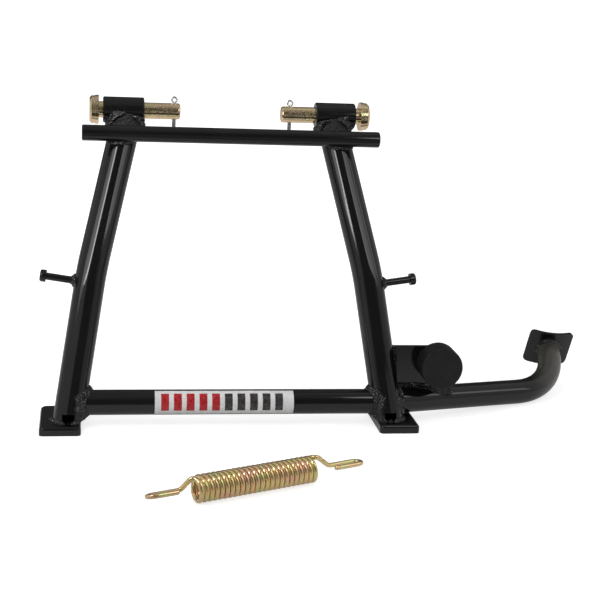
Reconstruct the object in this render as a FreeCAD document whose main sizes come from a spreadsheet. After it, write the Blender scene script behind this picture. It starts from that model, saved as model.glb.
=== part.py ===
import FreeCAD, Part
import math
import os

import Sketcher

from FreeCAD import Placement, Rotation, Vector

# Driving dimensions of the stand in millimetres and degrees.
# X runs along the pivot axis, Y to the rear of the machine and Z up from the floor.
SIZES = [
    ("leg_diameter", 29.4),
    ("leg_wall", 2.3),
    ("leg_foot_x", 157.7),
    ("leg_knee_x", 135.2),
    ("leg_knee_y", 39.1),
    ("leg_knee_z", 147.0),
    ("leg_top_x", 100.0),
    ("leg_bend_radius", 240.0),
    ("leg_stop_below_pivot", 7.0),
    ("drain_notch_width", 11.7),
    ("drain_notch_height", 8.4),
    ("pivot_y", 98.0),
    ("pivot_z", 295.0),
    ("bush_diameter", 25.6),
    ("bush_length", 40.0),
    ("bush_middle_x", 105.2),
    ("bush_chamfer", 0.9),
    ("pin_diameter", 16.0),
    ("pin_running_clearance", 0.08),
    ("pin_shank_length", 79.6),
    ("pin_tip_radius", 2.5),
    ("pin_head_diameter", 28.4),
    ("pin_flange_thickness", 3.6),
    ("pin_crown_diameter", 27.0),
    ("pin_crown_height", 5.4),
    ("pin_crown_bevel", 2.0),
    ("left_pin_end_gap", 4.1),
    ("right_pin_end_gap", 5.0),
    ("left_pin_hole_inset", 6.0),
    ("right_pin_hole_inset", 9.0),
    ("pin_hole_diameter", 4.0),
    ("split_wire_diameter", 1.7),
    ("split_leg_gap", 0.06),
    ("split_eye_diameter", 6.6),
    ("split_leg_reach", 16.4),
    ("split_seat_clearance", 0.12),
    ("cross_diameter", 24.5),
    ("cross_wall", 2.3),
    ("axle_tube_z", 24.0),
    ("bar_diameter", 15.5),
    ("bar_length", 291.2),
    ("bar_z", 275.8),
    ("bar_chamfer", 1.0),
    ("foot_width", 39.2),
    ("foot_middle_x", 164.0),
    ("foot_front_y", -23.0),
    ("foot_back_y", 47.0),
    ("foot_thickness", 8.5),
    ("foot_back_corner", 7.0),
    ("foot_front_corner", 4.0),
    ("foot_edge_round", 3.2),
    ("peg_z", 135.0),
    ("peg_reach", 47.7),
    ("peg_diameter", 7.0),
    ("peg_head_diameter", 11.8),
    ("peg_head_length", 6.0),
    ("peg_head_round", 2.0),
    ("lever_diameter", 25.4),
    ("lever_wall", 2.3),
    ("lever_back_angle", 22.5),
    ("lever_run", 218.2),
    ("lever_bend_radius", 84.0),
    ("lever_end_turn", 77.0),
    ("lever_end_rise", 25.0),
    ("lever_end_run", 70.0),
    ("pad_width", 48.8),
    ("pad_height", 45.0),
    ("pad_thickness", 3.0),
    ("pad_curve_radius", 62.0),
    ("pad_corner_radius", 5.5),
    ("pad_yaw", 7.8),
    ("pad_tilt", 27.2),
    ("pad_roll", 4.3),
    ("gusset_front_y", 22.0),
    ("gusset_thickness", 4.5),
    ("gusset_top_z", 76.2),
    ("gusset_right_x", 226.0),
    ("gusset_corner_cut", 15.0),
    ("gusset_edge_rise", 6.4),
    ("buffer_x", 208.0),
    ("buffer_z", 59.5),
    ("buffer_diameter", 41.4),
    ("buffer_length", 24.0),
    ("buffer_edge_round", 1.4),
    ("stud_diameter", 8.0),
    ("stud_head_diameter", 20.0),
    ("stud_head_thickness", 2.5),
    ("stud_buried_depth", 14.0),
    ("stud_tail_length", 2.4),
    ("stud_hole_clearance", 0.25),
    ("washer_diameter", 18.0),
    ("washer_thickness", 1.6),
    ("nut_across_flats", 13.0),
    ("nut_thickness", 6.5),
    ("weld_size", 4.2),
    ("small_weld_size", 2.8),
    ("label_length", 134.8),
    ("label_middle_x", -7.1),
    ("label_thickness", 0.15),
    ("label_gap", 0.05),
    ("label_low_angle", -49.0),
    ("label_span_angle", 126.0),
    ("spring_wire", 4.4),
    ("spring_diameter", 24.8),
    ("spring_pitch", 4.83),
    ("spring_turns", 24),
    ("spring_middle_x", 4.3),
    ("spring_middle_y", -171.6),
    ("spring_turn_angle", 25.4),
    ("spring_hook_width", 16.0),
    ("left_hook_shoulder", 5.5),
    ("left_hook_neck", 11.7),
    ("left_hook_reach", 46.9),
    ("left_hook_rise", 0.8),
    ("left_hook_tilt", -17.0),
    ("right_hook_shoulder", 2.2),
    ("right_hook_neck", 18.5),
    ("right_hook_reach", 50.8),
    ("right_hook_rise", -1.5),
    ("right_hook_tilt", -8.0),
]


def make_sheet(document):
    """Write the driving dimensions into the document's spreadsheet."""
    sheet = document.addObject("Spreadsheet::Sheet", "Sizes")
    for row, (alias, number) in enumerate(SIZES, start=1):
        sheet.set(f"A{row}", alias)
        sheet.set(f"B{row}", str(number))
        sheet.setAlias(f"B{row}", alias)
    document.recompute()
    return sheet


def distance(first, second):
    """Formula for the distance between two points given as formulas."""
    squares = [f"(({b}) - ({a}))^2" for a, b in zip(first, second)]
    return f"sqrt({' + '.join(squares)})"


def turn_angle(start, corner, finish):
    """Formula for the angle by which a path turns at its corner."""
    products = [f"(({b}) - ({a})) * (({c}) - ({b}))" for a, b, c in zip(start, corner, finish)]
    return f"acos(({' + '.join(products)}) / ({distance(start, corner)} * {distance(corner, finish)}))"


class Stand:
    """The stand as one parametric document, with its origin at a given floor point."""

    def __init__(self, origin):
        self.origin = origin
        self.document = FreeCAD.newDocument("CentreStand")
        self.sheet = make_sheet(self.document)
        self.nodes = []

    def size(self, formula):
        """Number that a formula on the sheet's sizes gives."""
        result = self.sheet.evalExpression(formula.replace("Sizes.", ""))
        return float(getattr(result, "Value", result))

    def point(self, formulas):
        """Point in the document from three formulas, with the origin taken off."""
        return Vector(*[self.size(formula) for formula in formulas]) - self.origin

    def keep(self, feature, label):
        """Give a feature the name of its sub-part and list it for writing."""
        feature.Label = label
        self.nodes.append(feature)
        return feature

    def solid(self, kind, name, base, rotation=None, **formulas):
        """Part primitive whose sizes are bound to the sheet."""
        feature = self.document.addObject(f"Part::{kind}", name)
        for size_name, formula in formulas.items():
            feature.setExpression(size_name, formula)
        feature.Placement = Placement(base, rotation or Rotation())
        return feature

    def fuse(self, name, shapes):
        """Several solids joined into one."""
        feature = self.document.addObject("Part::MultiFuse", name)
        feature.Shapes = shapes
        return feature

    def cut(self, name, base, tools):
        """One solid with others taken out of it."""
        feature = self.document.addObject("Part::Cut", name)
        feature.Base = base
        feature.Tool = tools[0] if len(tools) == 1 else self.fuse(f"{name}_tools", tools)
        return feature

    def weld(self, label, first, second, clear):
        """Bead that fills the corner between two grown solids, outside every solid in clear."""
        bead = self.document.addObject("Part::Common", f"{label}_corner")
        bead.Base = first
        bead.Tool = second
        for number, piece in enumerate(clear):
            bead = self.cut(f"{label}_{number}", bead, [piece])
        return self.keep(bead, label)


# Sketch helpers


def origin_plane(body, role):
    """Origin plane of a body, found by its role."""
    return next(plane for plane in body.Origin.OriginFeatures if plane.Role == role)


def new_sketch(body, name, role):
    """Sketch on one of its body's own origin planes."""
    sketch = body.newObject("Sketcher::SketchObject", name)
    sketch.AttachmentSupport = (origin_plane(body, role), [""])
    sketch.MapMode = "FlatFace"
    return sketch


def constrain(sketch, name, formula, *details):
    """Named constraint of a sketch, bound to a formula."""
    index = sketch.addConstraint(Sketcher.Constraint(*details))
    sketch.renameConstraint(index, name)
    sketch.setExpression(f"Constraints.{name}", formula)


def draw_circle(sketch, name, formula, guess):
    """Circle about the sketch's origin with a bound diameter."""
    index = sketch.addGeometry(Part.Circle(Vector(), Vector(0, 0, 1), guess / 2))
    sketch.addConstraint(Sketcher.Constraint("Coincident", index, 3, -1, 1))
    constrain(sketch, name, formula, "Diameter", index, guess)


def draw_outline(sketch, corners, values):
    """Closed outline of straight lines through bound corners, given as pairs of formulas."""
    points = [Vector(values(across), values(up), 0) for across, up in corners]
    count = len(points)
    for index, start in enumerate(points):
        sketch.addGeometry(Part.LineSegment(start, points[(index + 1) % count]))
    for index in range(count):
        sketch.addConstraint(Sketcher.Constraint("Coincident", index, 2, (index + 1) % count, 1))
    for index, (across, up) in enumerate(corners):
        place_point(sketch, index, f"across{index}", "DistanceX", across, points[index].x)
        place_point(sketch, index, f"up{index}", "DistanceY", up, points[index].y)


def place_point(sketch, index, name, kind, formula, value):
    """Hold the start of a line at a bound distance from the sketch's origin along one axis."""
    if abs(value) < 1e-9:
        axis = -2 if kind == "DistanceX" else -1
        sketch.addConstraint(Sketcher.Constraint("PointOnObject", index, 1, axis))
        return
    constrain(sketch, name, formula, kind, -1, 1, index, 1, value)


def edges_where(feature, test):
    """Names of the edges of a feature that pass a test."""
    return [f"Edge{number}" for number, edge in enumerate(feature.Shape.Edges, start=1) if test(edge)]


def soften(body, base, name, kind, size_name, formula, edges):
    """Fillet or chamfer on named edges of a body's last feature."""
    feature = body.newObject(f"PartDesign::{kind}", name)
    feature.Base = (base, edges)
    feature.setExpression(size_name, formula)
    body.Tip = feature
    return feature


# Solids of one kind that several sub-parts share


def bent_tube(stand, name, start, corner, finish, bend_radius, diameter, bore=None):
    """Tube, or a solid rod without a bore, along two straight runs joined by one bend."""
    body = stand.document.addObject("PartDesign::Body", name)
    turn = turn_angle(start, corner, finish)
    tangent = f"({bend_radius}) * tan({turn} / 2)"
    first_run = f"{distance(start, corner)} - {tangent}"
    last_run = f"{distance(corner, finish)} - {tangent}"
    radius = stand.size(bend_radius)
    angle = math.radians(stand.size(turn))
    first = stand.size(first_run)
    last = stand.size(last_run)

    spine = new_sketch(body, f"{name}_spine", "XZ_Plane")
    bend_start = Vector(0, first, 0)
    bend_centre = Vector(radius, first, 0)
    bend_end = Vector(radius * (1 - math.cos(angle)), first + radius * math.sin(angle), 0)
    tube_end = bend_end + Vector(math.sin(angle), math.cos(angle), 0) * last
    spine.addGeometry(Part.LineSegment(Vector(), bend_start))
    spine.addGeometry(
        Part.ArcOfCircle(Part.Circle(bend_centre, Vector(0, 0, 1), radius), math.pi - angle, math.pi)
    )
    spine.addGeometry(Part.LineSegment(bend_end, tube_end))
    spine.addConstraint(Sketcher.Constraint("Coincident", 0, 1, -1, 1))
    spine.addConstraint(Sketcher.Constraint("Vertical", 0))
    spine.addConstraint(Sketcher.Constraint("Tangent", 0, 2, 1, 2))
    spine.addConstraint(Sketcher.Constraint("Tangent", 1, 1, 2, 1))
    constrain(spine, "first_run", first_run, "Distance", 0, first)
    constrain(spine, "bend_radius", bend_radius, "Radius", 1, radius)
    constrain(spine, "last_run", last_run, "Distance", 2, last)
    constrain(spine, "bend_rise", f"({bend_radius}) * sin({turn})", "DistanceY", 0, 2, 1, 1,
              radius * math.sin(angle))

    section = new_sketch(body, f"{name}_section", "XY_Plane")
    draw_circle(section, "outside", diameter, stand.size(diameter))
    if bore:
        draw_circle(section, "bore", bore, stand.size(bore))
    pipe = body.newObject("PartDesign::AdditivePipe", f"{name}_pipe")
    pipe.Profile = section
    pipe.Spine = (spine, ["Edge1", "Edge2", "Edge3"])
    body.Tip = pipe

    along = (stand.point(corner) - stand.point(start)).normalize()
    onward = stand.point(finish) - stand.point(corner)
    aside = (onward - along * onward.dot(along)).normalize()
    body.Placement = Placement(stand.point(start), Rotation(aside, along.cross(aside), along, "ZXY"))
    return body


def ring_body(stand, name, outside, bore, length, placement):
    """Round pad along the body's X axis, symmetric about its origin, with a bore when one is given."""
    body = stand.document.addObject("PartDesign::Body", name)
    sketch = new_sketch(body, f"{name}_section", "YZ_Plane")
    draw_circle(sketch, "outside", outside, stand.size(outside))
    if bore:
        draw_circle(sketch, "bore", bore, stand.size(bore))
    pad = body.newObject("PartDesign::Pad", f"{name}_pad")
    pad.Profile = sketch
    pad.setExpression("Length", length)
    pad.Midplane = True
    body.Tip = pad
    body.Placement = placement
    stand.document.recompute()
    return body, pad


def outer_rim(edge, diameter):
    """Whether an edge is a full circle of the given diameter."""
    curve = edge.Curve
    return isinstance(curve, Part.Circle) and abs(curve.Radius - diameter / 2) < 1e-4


# Frame of the stand

ALONG_X = Rotation(Vector(0, 1, 0), 90)
ALONG_MINUS_Y = Rotation(Vector(1, 0, 0), 90)


def leg_points(side):
    """Floor point, knee and top of a leg's centre line, the side being -1 or 1."""
    rise = "(Sizes.pivot_z - Sizes.leg_knee_z)"
    share = f"(({rise} - Sizes.leg_stop_below_pivot) / {rise})"
    foot = (f"{side} * Sizes.leg_foot_x", "0", "0")
    knee = (f"{side} * Sizes.leg_knee_x", "Sizes.leg_knee_y", "Sizes.leg_knee_z")
    top = (
        f"{side} * (Sizes.leg_knee_x + (Sizes.leg_top_x - Sizes.leg_knee_x) * {share})",
        f"Sizes.leg_knee_y + (Sizes.pivot_y - Sizes.leg_knee_y) * {share}",
        f"Sizes.leg_knee_z + {rise} * {share}",
    )
    return foot, knee, top


def on_lower_leg(side, height):
    """Point of a lower leg's centre line at a height, as formulas."""
    share = f"(({height}) / Sizes.leg_knee_z)"
    return (
        f"{side} * (Sizes.leg_foot_x + (Sizes.leg_knee_x - Sizes.leg_foot_x) * {share})",
        f"Sizes.leg_knee_y * {share}",
        height,
    )


def lever_points(stand):
    """Start, corner and end of the foot lever's centre line, with its bend just on the floor."""
    start = on_lower_leg(1, "Sizes.axle_tube_z")
    end_x = "cos(Sizes.lever_end_rise) * cos(Sizes.lever_end_turn)"
    end_y = "cos(Sizes.lever_end_rise) * sin(Sizes.lever_end_turn)"
    low = 0.0
    high = 15.0
    for _ in range(40):
        drop = (low + high) / 2
        run = f"Sizes.lever_run * cos({drop})"
        corner = (
            f"{start[0]} + {run} * cos(Sizes.lever_back_angle)",
            f"{start[1]} + {run} * sin(Sizes.lever_back_angle)",
            f"{start[2]} - Sizes.lever_run * sin({drop})",
        )
        finish = (
            f"{corner[0]} + Sizes.lever_end_run * {end_x}",
            f"{corner[1]} + Sizes.lever_end_run * {end_y}",
            f"{corner[2]} + Sizes.lever_end_run * sin(Sizes.lever_end_rise)",
        )
        if lowest_point(stand, start, corner, finish) > stand.size("Sizes.lever_diameter / 2"):
            low = drop
        else:
            high = drop
    return start, corner, finish


def lowest_point(stand, start, corner, finish):
    """Height of the lowest point of the centre line through a bend."""
    along = (stand.point(corner) - stand.point(start)).normalize()
    onward = (stand.point(finish) - stand.point(corner)).normalize()
    turn = along.getAngle(onward)
    radius = stand.size("Sizes.lever_bend_radius")
    bend_start = stand.point(corner) - along * radius * math.tan(turn / 2)
    inward = (onward - along * math.cos(turn)).normalize()
    lowest_turn = math.atan2(-along.z, inward.z)
    swing = along * math.sin(lowest_turn) + inward * (1 - math.cos(lowest_turn))
    return (bend_start + swing * radius).z


def build_frame(stand):
    """Legs, tubes, bar, bushes, feet, pegs and the welds between them."""
    grown = {}
    rods = {}
    cross_y = on_lower_leg(1, "Sizes.axle_tube_z")[1]
    cross_length = "2 * Sizes.leg_foot_x"
    cross_base = stand.point((f"-({cross_length}) / 2", cross_y, "Sizes.axle_tube_z"))
    rods["cross"] = stand.solid(
        "Cylinder", "cross_rod", cross_base, ALONG_X, Radius="Sizes.cross_diameter / 2", Height=cross_length
    )
    grown["cross"] = stand.solid(
        "Cylinder", "cross_grown", cross_base, ALONG_X,
        Radius="Sizes.cross_diameter / 2 + Sizes.weld_size", Height=cross_length,
    )
    build_bar(stand, rods, grown)
    for side, word in ((-1, "left"), (1, "right")):
        build_leg(stand, side, word, rods, grown)
        build_bush(stand, side, word, rods, grown)
        build_foot(stand, side, word, rods, grown)
        build_peg(stand, side, word, rods, grown)
        finish_leg(stand, side, word)
    cross_bore = "Sizes.cross_diameter - 2 * Sizes.cross_wall"
    middle = Placement(stand.point(("0", cross_y, "Sizes.axle_tube_z")), Rotation())
    cross_body, _ = ring_body(stand, "cross_pipe", "Sizes.cross_diameter", cross_bore, cross_length, middle)
    stand.keep(stand.cut("cross_tube", cross_body, [rods["left_leg"], rods["right_leg"]]), "cross_tube")
    return rods, grown


def build_leg(stand, side, word, rods, grown):
    """Solid and grown forms of one leg, from which its tube, saddles and welds are cut."""
    foot, knee, top = leg_points(side)
    rods[f"{word}_leg"] = bent_tube(
        stand, f"{word}_leg_rod", foot, knee, top, "Sizes.leg_bend_radius", "Sizes.leg_diameter"
    )
    grown[f"{word}_leg"] = bent_tube(
        stand, f"{word}_leg_grown", foot, knee, top, "Sizes.leg_bend_radius",
        "Sizes.leg_diameter + 2 * Sizes.weld_size",
    )


def finish_leg(stand, side, word):
    """Leg tube with its saddle under the bush, its flat foot and its drain notch."""
    foot, knee, top = leg_points(side)
    tube = bent_tube(
        stand, f"{word}_leg_pipe", foot, knee, top, "Sizes.leg_bend_radius",
        "Sizes.leg_diameter", "Sizes.leg_diameter - 2 * Sizes.leg_wall",
    )
    near_foot = on_lower_leg(side, "Sizes.foot_thickness")
    notch_base = stand.point(
        (f"{near_foot[0]} - Sizes.drain_notch_width / 2", "-Sizes.leg_diameter", "Sizes.foot_thickness")
    )
    notch = stand.solid(
        "Box", f"{word}_notch", notch_base, Length="Sizes.drain_notch_width",
        Width="Sizes.leg_diameter", Height="Sizes.drain_notch_height",
    )
    floor = stand.solid(
        "Box", f"{word}_leg_floor", stand.point((f"{foot[0]} - Sizes.leg_diameter", "-Sizes.leg_diameter",
                                                 "-Sizes.leg_diameter")),
        Length="2 * Sizes.leg_diameter", Width="2 * Sizes.leg_diameter",
        Height="Sizes.leg_diameter + Sizes.foot_thickness",
    )
    saddle_reach = "(Sizes.bush_length / 2 + Sizes.leg_diameter)"
    saddle_base = stand.point((
        f"{side} * Sizes.bush_middle_x - {saddle_reach}", "Sizes.pivot_y", "Sizes.pivot_z"
    ))
    saddle = stand.solid(
        "Cylinder", f"{word}_leg_saddle", saddle_base, ALONG_X, Radius="Sizes.bush_diameter / 2",
        Height=f"2 * {saddle_reach}",
    )
    stand.keep(stand.cut(f"{word}_leg", tube, [saddle, notch, floor]), f"{word}_leg")


def build_bush(stand, side, word, rods, grown):
    """Pivot bush across the top of a leg."""
    centre = (f"{side} * Sizes.bush_middle_x", "Sizes.pivot_y", "Sizes.pivot_z")
    start = stand.point((f"{centre[0]} - Sizes.bush_length / 2", centre[1], centre[2]))
    rods[f"{word}_bush"] = stand.solid(
        "Cylinder", f"{word}_bush_rod", start, ALONG_X, Radius="Sizes.bush_diameter / 2",
        Height="Sizes.bush_length",
    )
    grown[f"{word}_bush"] = stand.solid(
        "Cylinder", f"{word}_bush_grown", start, ALONG_X,
        Radius="Sizes.bush_diameter / 2 + Sizes.weld_size", Height="Sizes.bush_length",
    )
    bore = "Sizes.pin_diameter + 2 * Sizes.pin_running_clearance"
    body, pad = ring_body(
        stand, f"{word}_bush", "Sizes.bush_diameter", bore, "Sizes.bush_length",
        Placement(stand.point(centre), Rotation()),
    )
    rim = edges_where(pad, lambda edge: outer_rim(edge, stand.size("Sizes.bush_diameter")))
    soften(body, pad, f"{word}_bush_chamfer", "Chamfer", "Size", "Sizes.bush_chamfer", rim)
    stand.keep(body, f"{word}_pivot_bush")


def bar_centre():
    """Centre of the upper bar, lying against the front of the legs, as formulas."""
    rise = "(Sizes.pivot_z - Sizes.leg_knee_z)"
    reach = "(Sizes.pivot_y - Sizes.leg_knee_y)"
    slope = f"sqrt({rise}^2 + {reach}^2)"
    touch = "((Sizes.leg_diameter + Sizes.bar_diameter) / 2)"
    leg_y = f"(Sizes.leg_knee_y + (Sizes.bar_z - Sizes.leg_knee_z) * {reach} / {rise})"
    return "0", f"{leg_y} - {touch} * {slope} / {rise}", "Sizes.bar_z"


def build_bar(stand, rods, grown):
    """Solid round bar across the front of both legs."""
    centre = bar_centre()
    start = stand.point(("-Sizes.bar_length / 2", centre[1], centre[2]))
    rods["bar"] = stand.solid(
        "Cylinder", "bar_rod", start, ALONG_X, Radius="Sizes.bar_diameter / 2", Height="Sizes.bar_length"
    )
    grown["bar"] = stand.solid(
        "Cylinder", "bar_grown", start, ALONG_X, Radius="Sizes.bar_diameter / 2 + Sizes.weld_size",
        Height="Sizes.bar_length",
    )
    body, pad = ring_body(
        stand, "bar", "Sizes.bar_diameter", None, "Sizes.bar_length", Placement(stand.point(centre), Rotation())
    )
    rim = edges_where(pad, lambda edge: outer_rim(edge, stand.size("Sizes.bar_diameter")))
    soften(body, pad, "bar_chamfer", "Chamfer", "Size", "Sizes.bar_chamfer", rim)
    stand.keep(body, "upper_cross_bar")


def build_foot(stand, side, word, rods, grown):
    """Flat foot plate with rounded corners, and the layer above it where its weld lies."""
    middle = f"{side} * Sizes.foot_middle_x"
    base = stand.point((f"{middle} - Sizes.foot_width / 2", "Sizes.foot_front_y", "0"))
    depth = "Sizes.foot_back_y - Sizes.foot_front_y"
    rods[f"{word}_foot"] = stand.solid(
        "Box", f"{word}_foot_block", base, Length="Sizes.foot_width", Width=depth, Height="Sizes.foot_thickness"
    )
    grown[f"{word}_foot"] = stand.solid(
        "Box", f"{word}_foot_layer", base, Length="Sizes.foot_width", Width=depth,
        Height="Sizes.foot_thickness + Sizes.small_weld_size",
    )
    body = stand.document.addObject("PartDesign::Body", f"{word}_foot_body")
    sketch = new_sketch(body, f"{word}_foot_outline", "XY_Plane")
    half = "Sizes.foot_width / 2"
    corners = [
        (f"-{half}", "Sizes.foot_front_y"), (half, "Sizes.foot_front_y"),
        (half, "Sizes.foot_back_y"), (f"-{half}", "Sizes.foot_back_y"),
    ]
    draw_outline(sketch, corners, stand.size)
    pad = body.newObject("PartDesign::Pad", f"{word}_foot_pad")
    pad.Profile = sketch
    pad.setExpression("Length", "Sizes.foot_thickness")
    body.Tip = pad
    body.Placement = Placement(stand.point((middle, "0", "0")), Rotation())
    stand.document.recompute()
    middle_y = (stand.size("Sizes.foot_front_y") + stand.size("Sizes.foot_back_y")) / 2
    last = pad
    for place, test, formula in (
        ("back", lambda y: y > middle_y, "Sizes.foot_back_corner"),
        ("front", lambda y: y < middle_y, "Sizes.foot_front_corner"),
    ):
        upright = edges_where(last, lambda edge: is_upright(edge) and test(edge.CenterOfMass.y))
        last = soften(body, last, f"{word}_foot_{place}", "Fillet", "Radius", formula, upright)
        stand.document.recompute()
    top = stand.size("Sizes.foot_thickness")
    front = stand.size("Sizes.foot_front_y")
    lip = edges_where(last, lambda edge: edge.BoundBox.YMax < front + 0.01 and edge.BoundBox.ZMin > top - 0.01)
    soften(body, last, f"{word}_foot_lip", "Fillet", "Radius", "Sizes.foot_edge_round", lip)
    stand.keep(body, f"{word}_foot_plate")


def is_upright(edge):
    """Whether an edge is straight and parallel to Z."""
    box = edge.BoundBox
    return box.XLength < 1e-6 and box.YLength < 1e-6


def peg_axis(stand, side):
    """Start of a spring peg on the leg's centre line and its outward direction."""
    foot, knee, _ = leg_points(side)
    along = (stand.point(knee) - stand.point(foot)).normalize()
    outward = Vector(side, 0, 0)
    outward = (outward - along * outward.dot(along)).normalize()
    return stand.point(on_lower_leg(side, "Sizes.peg_z")), outward


def build_peg(stand, side, word, rods, grown):
    """Headed peg square to the lower leg, on which a return spring hooks."""
    start, outward = peg_axis(stand, side)
    turn = Rotation(Vector(0, 0, 1), outward)
    rods[f"{word}_peg"] = stand.solid(
        "Cylinder", f"{word}_peg_rod", start, turn, Radius="Sizes.peg_diameter / 2", Height="Sizes.peg_reach"
    )
    grown[f"{word}_peg"] = stand.solid(
        "Cylinder", f"{word}_peg_grown", start, turn,
        Radius="Sizes.peg_diameter / 2 + Sizes.small_weld_size", Height="Sizes.peg_reach",
    )
    body = stand.document.addObject("PartDesign::Body", f"{word}_peg_body")
    sketch = new_sketch(body, f"{word}_peg_outline", "XZ_Plane")
    shank = "Sizes.peg_diameter / 2"
    head = "Sizes.peg_head_diameter / 2"
    corners = [
        ("0", "0"), (shank, "0"), (shank, "Sizes.peg_reach - Sizes.peg_head_length"),
        (head, "Sizes.peg_reach - Sizes.peg_head_length"), (head, "Sizes.peg_reach"), ("0", "Sizes.peg_reach"),
    ]
    draw_outline(sketch, corners, stand.size)
    lathe = body.newObject("PartDesign::Revolution", f"{word}_peg_turning")
    lathe.Profile = sketch
    lathe.ReferenceAxis = (sketch, ["V_Axis"])
    body.Tip = lathe
    stand.document.recompute()
    end = stand.size("Sizes.peg_reach")
    rim = edges_where(lathe, lambda edge: edge.BoundBox.ZMin > end - 0.01 and edge.BoundBox.XLength > 1)
    soften(body, lathe, f"{word}_peg_dome", "Fillet", "Radius", "Sizes.peg_head_round", rim)
    body.Placement = Placement(start, turn)
    stand.keep(stand.cut(f"{word}_peg", body, [rods[f"{word}_leg"]]), f"{word}_spring_peg")


# Foot lever with its pad, gusset and rubber buffer


def pad_turn(stand):
    """Rotation of the foot pad: width along X, foot side along Y, height along Z, before turning."""
    yaw = Rotation(Vector(0, 0, 1), -stand.size("Sizes.pad_yaw"))
    tilt = Rotation(Vector(1, 0, 0), stand.size("Sizes.pad_tilt"))
    roll = Rotation(Vector(0, 1, 0), stand.size("Sizes.pad_roll"))
    return yaw.multiply(tilt).multiply(roll)


def build_lever(stand, rods, grown):
    """Foot lever tube from the right leg, back along the floor and up to the pad."""
    start, corner, finish = lever_points(stand)
    bend = "Sizes.lever_bend_radius"
    rods["lever"] = bent_tube(stand, "lever_rod", start, corner, finish, bend, "Sizes.lever_diameter")
    grown["lever"] = bent_tube(
        stand, "lever_grown", start, corner, finish, bend, "Sizes.lever_diameter + 2 * Sizes.weld_size"
    )
    tube = bent_tube(
        stand, "lever_pipe", start, corner, finish, bend, "Sizes.lever_diameter",
        "Sizes.lever_diameter - 2 * Sizes.lever_wall",
    )
    turn = pad_turn(stand)
    onward = (stand.point(finish) - stand.point(corner)).normalize()
    face = turn.multVec(Vector(0, 1, 0))
    seat = stand.point(finish) - onward * stand.size("Sizes.weld_size")
    curve_centre = seat + face * stand.size("Sizes.pad_curve_radius")
    tall = turn.multVec(Vector(0, 0, 1))
    low_end = curve_centre - tall * stand.size("Sizes.pad_height")
    rods["pad_side"] = stand.solid(
        "Cylinder", "pad_side_round", low_end, turn, Radius="Sizes.pad_curve_radius",
        Height="2 * Sizes.pad_height",
    )
    stand.keep(stand.cut("lever_tube", tube, [rods["right_leg"], rods["pad_side"]]), "foot_lever")
    build_pad(stand, seat, turn, grown)


def build_pad(stand, seat, turn, grown):
    """Foot pad, a plate curved to hold the shoe, with its hollow side to the rear."""
    body = stand.document.addObject("PartDesign::Body", "pad_body")
    sketch = new_sketch(body, "pad_section", "XY_Plane")
    outer = stand.size("Sizes.pad_curve_radius")
    inner = stand.size("Sizes.pad_curve_radius - Sizes.pad_thickness")
    half_angle = math.asin(stand.size("Sizes.pad_width / 2") / outer)
    centre = Vector(0, outer, 0)
    middle = -math.pi / 2
    arcs = [
        Part.ArcOfCircle(Part.Circle(centre, Vector(0, 0, 1), radius), middle - half_angle, middle + half_angle)
        for radius in (outer, inner)
    ]
    for arc in arcs:
        sketch.addGeometry(arc)
    sketch.addGeometry(Part.LineSegment(arcs[0].StartPoint, arcs[1].StartPoint))
    sketch.addGeometry(Part.LineSegment(arcs[0].EndPoint, arcs[1].EndPoint))
    for details in (
        ("Coincident", 0, 3, 1, 3), ("PointOnObject", 0, 3, -2), ("Coincident", 2, 1, 0, 1),
        ("Coincident", 2, 2, 1, 1), ("Coincident", 3, 1, 0, 2), ("Coincident", 3, 2, 1, 2),
        ("Perpendicular", 2, 0), ("Perpendicular", 3, 0),
    ):
        sketch.addConstraint(Sketcher.Constraint(*details))
    constrain(sketch, "curve_height", "Sizes.pad_curve_radius", "DistanceY", -1, 1, 0, 3, outer)
    constrain(sketch, "outer_radius", "Sizes.pad_curve_radius", "Radius", 0, outer)
    constrain(sketch, "inner_radius", "Sizes.pad_curve_radius - Sizes.pad_thickness", "Radius", 1, inner)
    constrain(sketch, "width", "Sizes.pad_width", "DistanceX", 0, 1, 0, 2, stand.size("Sizes.pad_width"))
    constrain(sketch, "half_width", "Sizes.pad_width / 2", "DistanceX", -1, 1, 0, 2,
              stand.size("Sizes.pad_width / 2"))
    pad = body.newObject("PartDesign::Pad", "pad_plate")
    pad.Profile = sketch
    pad.setExpression("Length", "Sizes.pad_height")
    pad.Midplane = True
    body.Tip = pad
    stand.document.recompute()
    thickness = stand.size("Sizes.pad_thickness")
    corners = edges_where(pad, lambda edge: abs(edge.Length - thickness) < 0.01)
    soften(body, pad, "pad_corners", "Fillet", "Radius", "Sizes.pad_corner_radius", corners)
    body.Placement = Placement(seat, turn)
    stand.keep(body, "foot_pad")
    base = seat + turn.multVec(Vector(stand.size("-Sizes.pad_width / 2"), stand.size("-Sizes.weld_size"),
                                      stand.size("-Sizes.pad_height / 2")))
    grown["pad"] = stand.solid(
        "Box", "pad_layer", base, turn, Length="Sizes.pad_width", Height="Sizes.pad_height",
        Width="2 * Sizes.weld_size",
    )


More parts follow.
